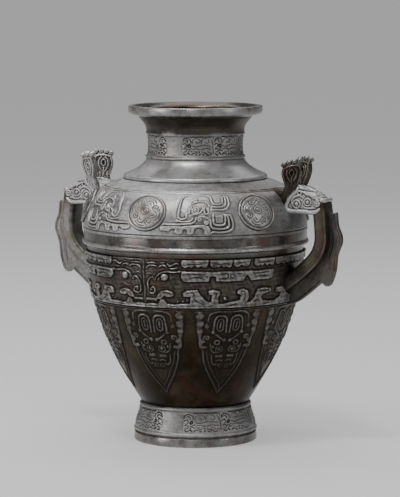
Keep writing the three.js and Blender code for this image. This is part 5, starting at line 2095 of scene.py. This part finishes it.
@dataclass
class Horn:
    """A palm-like horn with four fingers and a pierced eye."""

    height: float = 31.0
    widening: float = 1.07
    stretched: Point = (9.0, 26.0)
    tips: Point = (22.5, 29.5)
    tip_highlight: float = 0.3
    lean: float = 11.0
    eye: Point = (1.3, 2.5)
    eye_height: float = 14.6
    half: float = 2.1
    grain: float = 0.36
    slopes: tuple[tuple[str, float], ...] = (
        ("horn_right_front", 0.26), ("horn_left_front", -0.16), ("horn_left_back", 0.07))
    outline: Line = field(default_factory=lambda: [
        (6.6, -1.0), (6.7, 1.6), (7.6, 5.0), (9.0, 9.0), (9.9, 13.0), (9.8, 16.6), (8.9, 19.6),
        (8.1, 21.4), (8.5, 23.0), (7.8, 24.4), (4.0, 24.8), (0.0, 24.8)])
    fingers: tuple[tuple[Point, Point, Point], ...] = (
        ((-6.2, 20.0), (-7.4, 23.6), (-7.9, 25.4)), ((-2.4, 20.0), (-2.7, 24.4), (-2.8, 26.6)),
        ((2.2, 20.0), (2.3, 24.6), (2.5, 26.8)), ((6.2, 20.0), (7.2, 24.0), (7.7, 26.0)))

    def build(self, side: Side, place: str) -> None:
        """Cast one horn and set it on its seat.

        Args:
            side: Side of the vase.
            place: Whether it is the front or the back one.
        """
        node = f"{side.node('horn')}_{place}"
        melt = Melt()
        self._palm(melt)
        self._crown(melt)
        for face in (-1, 1):
            self._carve(melt, face)
        mesh = melt.cast(node, self.grain)
        points = positions(mesh) * (self.widening, 1.0, 1.0)
        share = np.interp(points[:, 2], self.stretched, [0.0, 1.0])
        points[:, 2] += dict(self.slopes).get(node, 0.0) * points[:, 0] * share
        stretch = 1.0 + share * (self.height - 0.3) / points[:, 2].max() - share
        points[:, 2] = np.clip(points[:, 2] * stretch, 0.05, self.height)
        move_to(mesh, points)
        # The finger tips are painted paler towards the top, as a highlight.
        tips = np.interp(points[:, 2], self.tips, [0.0, self.tip_highlight])
        set_numbers(mesh, "pale", self.tone(side) + tips)
        # Strong wear on the horn's bulges, wear and painted highlight on the fingers and ridges.
        mark_by_shape(mesh, 2.4, 1.3)
        ahead = -1 if (place == "front") == (side is Side.RIGHT) else 1
        lean, turn = (Matrix.Rotation(math.radians(-ahead * angle), 4, axis)
                      for angle, axis in ((self.lean, "X"), (HORN_TURN, "Z")))
        x, y, z = HORN_SEAT
        seat = Vector((x, ahead * y, z)) * MM
        mesh.transform(Matrix.Translation(seat) @ turn @ lean)
        side.dress(mesh, node, Finish.BEAST)

    def _palm(self, melt: Melt) -> None:
        """The pierced palm, the web in its eye and its fluted root.

        Args:
            melt: The mould.
        """
        right = drawn(self.outline, 4)
        palm = [*right, *[(-x, z) for x, z in reversed(right[:-1])]]
        palm = spread([*palm, palm[0]], 1.2)[:-1]
        eye = self._eye_line(palm)
        melt.plate(palm, -self.half, self.half, eye)
        melt.plate([(x * 1.6, self.eye_height + (z - self.eye_height) * 1.4) for x, z in eye],
                   -0.5, 0.5)
        for x in (-3.6, 0.0, 3.6):
            melt.tube([(x, 0, -1.5), (x * 1.05, 0, 2.0), (x * 1.2, 0, 6.0)], [3.3, 2.9, 2.1],
                      sides=16)

    @staticmethod
    def tone(side: Side) -> float:
        """How pale the horns of a side are, the right ones painted darker as shade."""
        # Painted shade: the right horns are darker than the left.
        return 0.07 if side is Side.RIGHT else 0.58

    def _eye_line(self, palm: Line) -> Line:
        """Outline of the eye, point for point beside the palm's outline.

        Args:
            palm: The palm's outline.

        Returns:
            The outline of the eye.
        """
        turns = [math.atan2(z - self.eye_height, x) for x, z in palm]
        return [(self.eye[0] * math.cos(turn), self.eye_height + self.eye[1] * math.sin(turn))
                for turn in turns]

    def _crown(self, melt: Melt) -> None:
        """Four fingers with rounded, curled tips.

        Args:
            melt: The mould.
        """
        for index, finger in enumerate(self.fingers):
            bend = 0.6 if index % 2 else -0.4
            (x0, z0), (x1, z1), (x2, z2) = finger
            tip = (x2, bend, z2)
            melt.tube([(x0, 0.0, z0), (x1, 0.0, z1), tip], [2.1, 2.0, 2.1])
            melt.ball(tip, 2.75, (1.0, 1.1, 1.0))
            for face in (-1, 1):
                melt.hoop((x2, bend + face * 2.2, z2), (1.4, 0, 0), (0, 0, 1.4), 0.75, 12)

    def _carve(self, melt: Melt, face: int) -> None:
        """Ridges and rings of one face.

        Args:
            melt: The mould.
            face: Side of the palm, -1 or 1.
        """
        y = face * (self.half + 0.15)
        edge = [(x * 0.88, z) for x, z in self.outline[1:8]]
        for mirror in (-1, 1):
            melt.tube([(mirror * x, y, z) for x, z in edge], [1.0, 1.2, 1.3, 1.3, 1.2, 1.1, 0.9])
            melt.tube([(mirror * 1.2, y, 5.0), (mirror * 3.6, y, 8.8), (mirror * 4.9, y, 13.4),
                       (mirror * 4.4, y, 17.6), (mirror * 1.8, y, 20.6)],
                      [0.7, 0.95, 1.0, 0.95, 0.7])
        across, up = (half + 0.9 for half in self.eye)
        melt.hoop((0, y, self.eye_height), (across, 0, 0), (0, 0, up), 0.8)
        melt.tube([(-7.4, y, 21.4), (-3.0, y, 22.4), (3.0, y, 22.4), (7.4, y, 21.4)], 1.0)
        melt.tube([(0.0, y, 1.0), (0.0, y, 6.0), (0.0, y, 9.2)], [0.9, 0.9, 0.6])


# Body


def fine(line: Line, spacing: float, corner: float) -> Line:
    """Rounded and evenly cut line."""
    return spread(softened(line, corner), spacing)


@dataclass
class VaseBody:
    """The nine turned sections, from the foot's rim to the mouth."""

    wall: float = 3.5

    def lines(self) -> dict[str, Line]:
        """Outer lines of the sections, from the bottom up.

        Returns:
            Radius and height of each line's points, by the section's name.
        """
        return {
            "foot_rim": [(66.3, 0.0), (66.2, 4.0), (65.8, 9.2)],
            "foot": [(63, 9.2), (63, 10.5), (66.5, 11.6), (66.5, 13.6), (65.3, 15.2),
                     *bezier((65.2, 15.3), (65, 22.2), (61.2, 27.9), (59.9, 35.9), 30),
                     (59.0, 36.8), (60.3, 38.1), (60.1, 39.9), (58.6, 41.5)],
            "belly": bezier((57.5, 41.5), (81.92, 78.5), (99.01, 115.5), (109, 152.5), 60),
            "frieze_band": [(109.4, 152.5), (110.8, 153.9),
                            *bezier((110.4, 155.3), (113.6, 168.85), (115.7, 185.2),
                                    (117.3, 206), 40), (116.2, 207)],
            "girdle": [(116.2, 207), (116.6, 212), (121.4, 213.4), (122, 215), (121.4, 216.6),
                       (119.8, 218), (119.8, 227.5)],
            "shoulder": [*bezier((120.4, 227.5), (120.6, 252.25), (109.4, 270.5), (91.5, 277), 60),
                         (84.5, 279.9), (78.2, 282)],
            "collar": [(75.8, 282), (77.2, 283.2), (77.2, 285.2),
                       *bezier((76.2, 286.6), (66.5, 290.5), (55.5, 296), (52.7, 303), 30),
                       (52.3, 303.8)],
            "neck": [(52.3, 303.8), (53.6, 305), (53.6, 306.4), (51.7, 307.8), (50.9, 312.0),
                     (50.5, 317), (50.7, 323.0), (51.5, 328.6), (53.1, 330.2), (52.9, 331.4),
                     *bezier((52.5, 332.2), (52.5, 340), (56.5, 342), (61.5, 349), 20)],
            "mouth_rim": [(61.5, 349), (67, 350.3), (70.8, 351.8), (71.6, 353.4), (72, 359),
                          (71.3, 360)],
        }

    def outside(self) -> Line:
        """The whole outer line of the body between the foot and the collar.

        Returns:
            Radius and height of its points, from the bottom up.
        """
        lines = self.lines()
        names = ("belly", "frieze_band", "girdle", "shoulder")
        line = [point for name in names for point in lines[name]]
        return [point for index, point in enumerate(line)
                if index == 0 or point[1] > line[index - 1][1]]

    def build(self) -> None:
        """Build the sections one by one."""
        for section in self.sections():
            section.build()

    def sections(self) -> list[Section]:
        """The sections, from the bottom up.

        Returns:
            The sections, ready to build.
        """
        lines = self.lines()
        plain, carved = Finish.PLAIN, Finish.RELIEF
        foot_dragons = WalkingDragons(21.4, starts=(11.5, 49.5))
        neck_dragons = WalkingDragons(20.9)
        rim = softened(lines["foot_rim"], 0.8)
        return [
            Section("foot_rim", plain, softened([(63.5, 0.0), (65.6, 0.0), (66.3, 0.9), *rim[1:-1],
                                                 (65.8, 8.8), (65.2, 9.2)], 0.9, 3),
                    [(57.2, 9.2), (57.2, 5.7), (58.4, 3.2), (61.0, 0.6), (61.9, 0.0)],
                    pale=[(0.0, 0.42)]),
            Section("foot", carved, fine(lines["foot"], 0.5, 0.5),
                    [(49.0, 41.5), (49.0, 38.0), (55.3, 31.9), (58.2, 24.0), (59.5, 17.2),
                     (59.4, 9.2)], columns=720, pale=[(12.0, 0.58), (36.0, 0.40)], dirt_and_shade=2.4,
                    wear_and_highlight=1.2, bands=[Band(15.6, 35.6, foot_dragons.draw, turn=3.0)]),
            # The belly is painted very dark: dark patina together with painted shade.
            Section("belly", carved, spread(lines["belly"], 0.82),
                    lining(lines["belly"], self.wall, (53.9, 41.5), (105.5, 152.5)),
                    columns=1080, halves=True, pale=[(41.0, 0.0), (95.0, 0.0), (150.0, 0.03)],
                    lift=0.12, full=0.8, dirt_and_shade=1.15, mottle=0.3, fade=(82.0, 126.0),
                    bands=[Band(41.6, 152.4, BellyBlades().draw, repeats=8, turn=0.625)]),
            Section("frieze_band", carved, fine(lines["frieze_band"], 0.46, 0.5),
                    lining(lines["frieze_band"][2:-1], self.wall, (105.9, 152.5), (112.6, 207.0)),
                    columns=1296, halves=True, pale=[(152.0, 0.09), (207.0, 0.12)], lift=0.24,
                    full=1.6, wear_and_highlight=0.55, waver=0.3, mottle=0.5,
                    bands=[Band(155.4, 205.9, FriezeMask().draw, turn=-1.25)]),
            # The girdle's bead is painted paler as a highlight.
            Section("girdle", plain, fine(lines["girdle"], 0.6, 0.8),
                    [(116.0, 227.5), (115.8, 218.0), (113.4, 212.0), (112.7, 207.0)],
                    pale=[(208.0, 0.12), (212.0, 0.3), (216.0, 0.6), (219.0, 0.22), (227.0, 0.26)]),
            # The shoulder is painted paler towards its top as light from above, and darker beside
            # the handles as shade.
            Section("shoulder", carved, fine(lines["shoulder"], 0.53, 0.4),
                    lining(lines["shoulder"], self.wall, (116.9, 227.5), (74.6, 282.0)),
                    columns=1296, halves=True, pale=[(227.0, 0.5), (245.0, 0.62), (282.0, 0.74)],
                    lift=0.10, full=0.8, wear_and_highlight=1.0, dirt_and_shade=0.65, waver=0.2, handle_shade=0.42, mottle=0.1,
                    bands=[Band(227.5, 281.4, ShoulderDragons().draw)]),
            # The collar's paleness holds painted light from above on its upward face, with the
            # patina's tone.
            Section("collar", plain, fine(lines["collar"], 0.6, 0.5),
                    [(48.8, 303.8), (49.4, 301.0), (53.0, 295.6), (61.0, 289.8), (70.0, 285.4),
                     (72.3, 282.0)], pale=[(282.0, 0.78), (303.0, 0.74)]),
            # The flare under the mouth rim, above 333, is painted dark as shade.
            Section("neck", carved, fine(lines["neck"], 0.6, 0.4),
                    [(58.0, 349.0), (53.4, 342.4), (50.2, 337.6), (48.9, 332.0), (47.4, 325.0),
                     (47.0, 317.0), (47.4, 311.0), (48.8, 303.8)], columns=720,
                    pale=[(304.0, 0.50), (330.0, 0.46), (333.0, 0.08), (349.0, 0.03)], dirt_and_shade=2.4,
                    wear_and_highlight=1.2, bands=[Band(308.4, 328.4, neck_dragons.draw)]),
            # The underside of the lip, at the bottom of the table, is painted darker as shade.
            Section("mouth_rim", plain,
                    softened([(61.5, 349.0), (67.0, 350.3), (70.8, 351.6), (71.6, 353.2),
                              (71.95, 356.0), (72.0, 359.2), (71.3, 360.0), (68.8, 360.0),
                              (66.3, 360.0)], 0.9, 3),
                    [(65.4, 359.6), (61.5, 358.1), (57.7, 356.6), (56.0, 355.0), (55.8, 353.8),
                     (58.0, 352.6), (58.0, 349.0)], pale=[(349.0, 0.2), (353.0, 0.5)]),
        ]


# Stage

FACING = 26.3


@dataclass
class SoftBox:
    """A large soft lamp that looks at the vase."""

    aim: ClassVar[Spot] = (0.0, 0.0, 0.20)

    bearing: float
    rise: float
    distance: float
    width: float
    height: float
    watts: float

    def build(self, name: str) -> None:
        """Hang the lamp, aimed at the middle of the vase.

        Args:
            name: Its name.
        """
        lamp = bpy.data.lights.new(name, "AREA")
        lamp.shape = "RECTANGLE"
        lamp.size = self.width
        lamp.size_y = self.height
        lamp.energy = self.watts
        turn, rise = math.radians(self.bearing - 90.0), math.radians(self.rise)
        away = Vector((math.cos(turn) * math.cos(rise), math.sin(turn) * math.cos(rise),
                       math.sin(rise)))
        stand = put(name, lamp)
        stand.location = Vector(self.aim) + away * self.distance
        stand.rotation_euler = away.to_track_quat("Z", "Y").to_euler()


@dataclass
class Studio:
    """Pale floor, soft lamps, a plain world and the camera of the photograph."""

    floor_radius: float = 60.0
    floor_grey: float = 0.68
    floor_glow: float = 0.55
    world_grey: float = 0.12
    horizon_grey: float = 0.37
    camera_bearing: float = FACING
    camera_place: Spot = (1.2676, -2.5649, 0.513)
    camera_yaw: float = -0.10
    camera_pitch: float = 6.13
    lens: float = 193.8
    boxes: tuple[SoftBox, ...] = (
        SoftBox(FACING - 63.0, 12.0, 1.7, 0.55, 0.95, 14.0),
        SoftBox(FACING + 58.0, 14.0, 1.7, 0.40, 0.90, 5.0),
        SoftBox(FACING, 112.0, 2.1, 2.6, 2.2, 40.0),
        SoftBox(FACING - 20.0, 60.0, 2.0, 1.6, 1.0, 26.0),
        SoftBox(FACING - 26.0, 66.0, 1.8, 0.26, 0.24, 13.0),
        SoftBox(FACING - 8.0, 2.0, 2.3, 0.20, 0.5, 2.5),
        SoftBox(FACING - 148.4, 70.6, 1.7, 0.4, 0.4, 5.0),
    )

    def build(self) -> None:
        """Set up the floor, the light and the camera."""
        self._floor()
        self._world()
        for index, box in enumerate(self.boxes):
            box.build(f"soft_box_{index + 1}")
        self._camera()

    def _floor(self) -> None:
        """Lay the floor, which glows a little where it is seen or mirrored."""
        bm = bmesh.new()
        bmesh.ops.create_circle(bm, cap_ends=True, segments=96, radius=self.floor_radius)
        mesh = mesh_of(bm, "floor")
        grey = (self.floor_grey,) * 3
        sheet = Sheet("studio_floor")
        sheet.feed(sheet.surface.inputs["Base Color"], grey)
        sheet.feed(sheet.surface.inputs["Roughness"], 0.85)
        path = sheet.node("ShaderNodeLightPath").outputs
        rays = ("Camera", "Glossy", "Transmission")
        seen = [Value(sheet, path[f"Is {ray} Ray"]) for ray in rays]
        share = (seen[0] + seen[1] + seen[2]).between(0.0, 1.0) * self.floor_glow
        glow = sheet.node("ShaderNodeEmission", {}, {"Color": grey})
        shaders = {0: share, 1: sheet.surface.outputs[0], 2: glow.outputs[0]}
        blend = sheet.node("ShaderNodeMixShader", {}, shaders)
        sheet.feed(sheet.output.inputs["Surface"], blend.outputs[0])
        mesh.materials.append(sheet.material)
        put("studio_floor", mesh)

    def _world(self) -> None:
        """Fill the room with even light, and show the horizon as pale as the floor."""
        world = bpy.data.worlds.new("studio")
        world.use_nodes = True
        tree = world.node_tree
        tone = tree.nodes.new("ShaderNodeMapRange")
        tone.inputs["To Min"].default_value = self.world_grey
        tone.inputs["To Max"].default_value = self.horizon_grey
        seen = tree.nodes.new("ShaderNodeLightPath").outputs["Is Camera Ray"]
        tree.links.new(seen, tone.inputs["Value"])
        tree.links.new(tone.outputs[0], tree.nodes["Background"].inputs["Color"])
        bpy.context.scene.world = world

    def _camera(self) -> None:
        """Stand the camera where the photograph was taken from."""
        camera = bpy.data.cameras.new("camera")
        camera.sensor_fit = "VERTICAL"
        camera.sensor_height = 36.0
        camera.lens = self.lens
        camera.clip_end = 200.0
        stand = put("camera", camera)
        stand.location = self.camera_place
        stand.rotation_euler = (math.radians(90.0 - self.camera_pitch), 0.0,
                                math.radians(self.camera_bearing + self.camera_yaw))
        bpy.context.scene.camera = stand


# Whole object


@dataclass
class Handles:
    """Both handles: bar, fin, head and two horns each."""

    body: Line

    def build(self) -> None:
        """Build both sides."""
        arm = HandleArm(self.body)
        for side in Side:
            arm.build(side)
            HandleFin(self.body, arm).build(side)
            BeastHead(self.body).build(side)
            for place in ("front", "back"):
                Horn().build(side, place)


@dataclass
class HiddenMetal:
    """Solids that stay as they are: the floor of the vessel and the pegs."""

    names: tuple[str, ...] = ("base_plate", "head_peg_right", "head_peg_left", "arm_peg_right",
                              "arm_peg_left")

    def dress(self) -> None:
        """Give them rough cast metal."""
        for name in self.names:
            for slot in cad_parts[name].material_slots:
                slot.material = Finish.INNER.material()
            log.info("%s: kept solid", name)


def main() -> None:
    """Build the vase and its stage."""
    logging.basicConfig(level=logging.INFO, format="%(message)s")
    Studio().build()
    body = VaseBody()
    body.build()
    outside = body.outside()
    for index in range(6):
        Roundel(index + 1, 60.0 * index, outside).build()
    Handles(outside).build()
    HiddenMetal().dress()


if __name__ == "__main__":
    main()
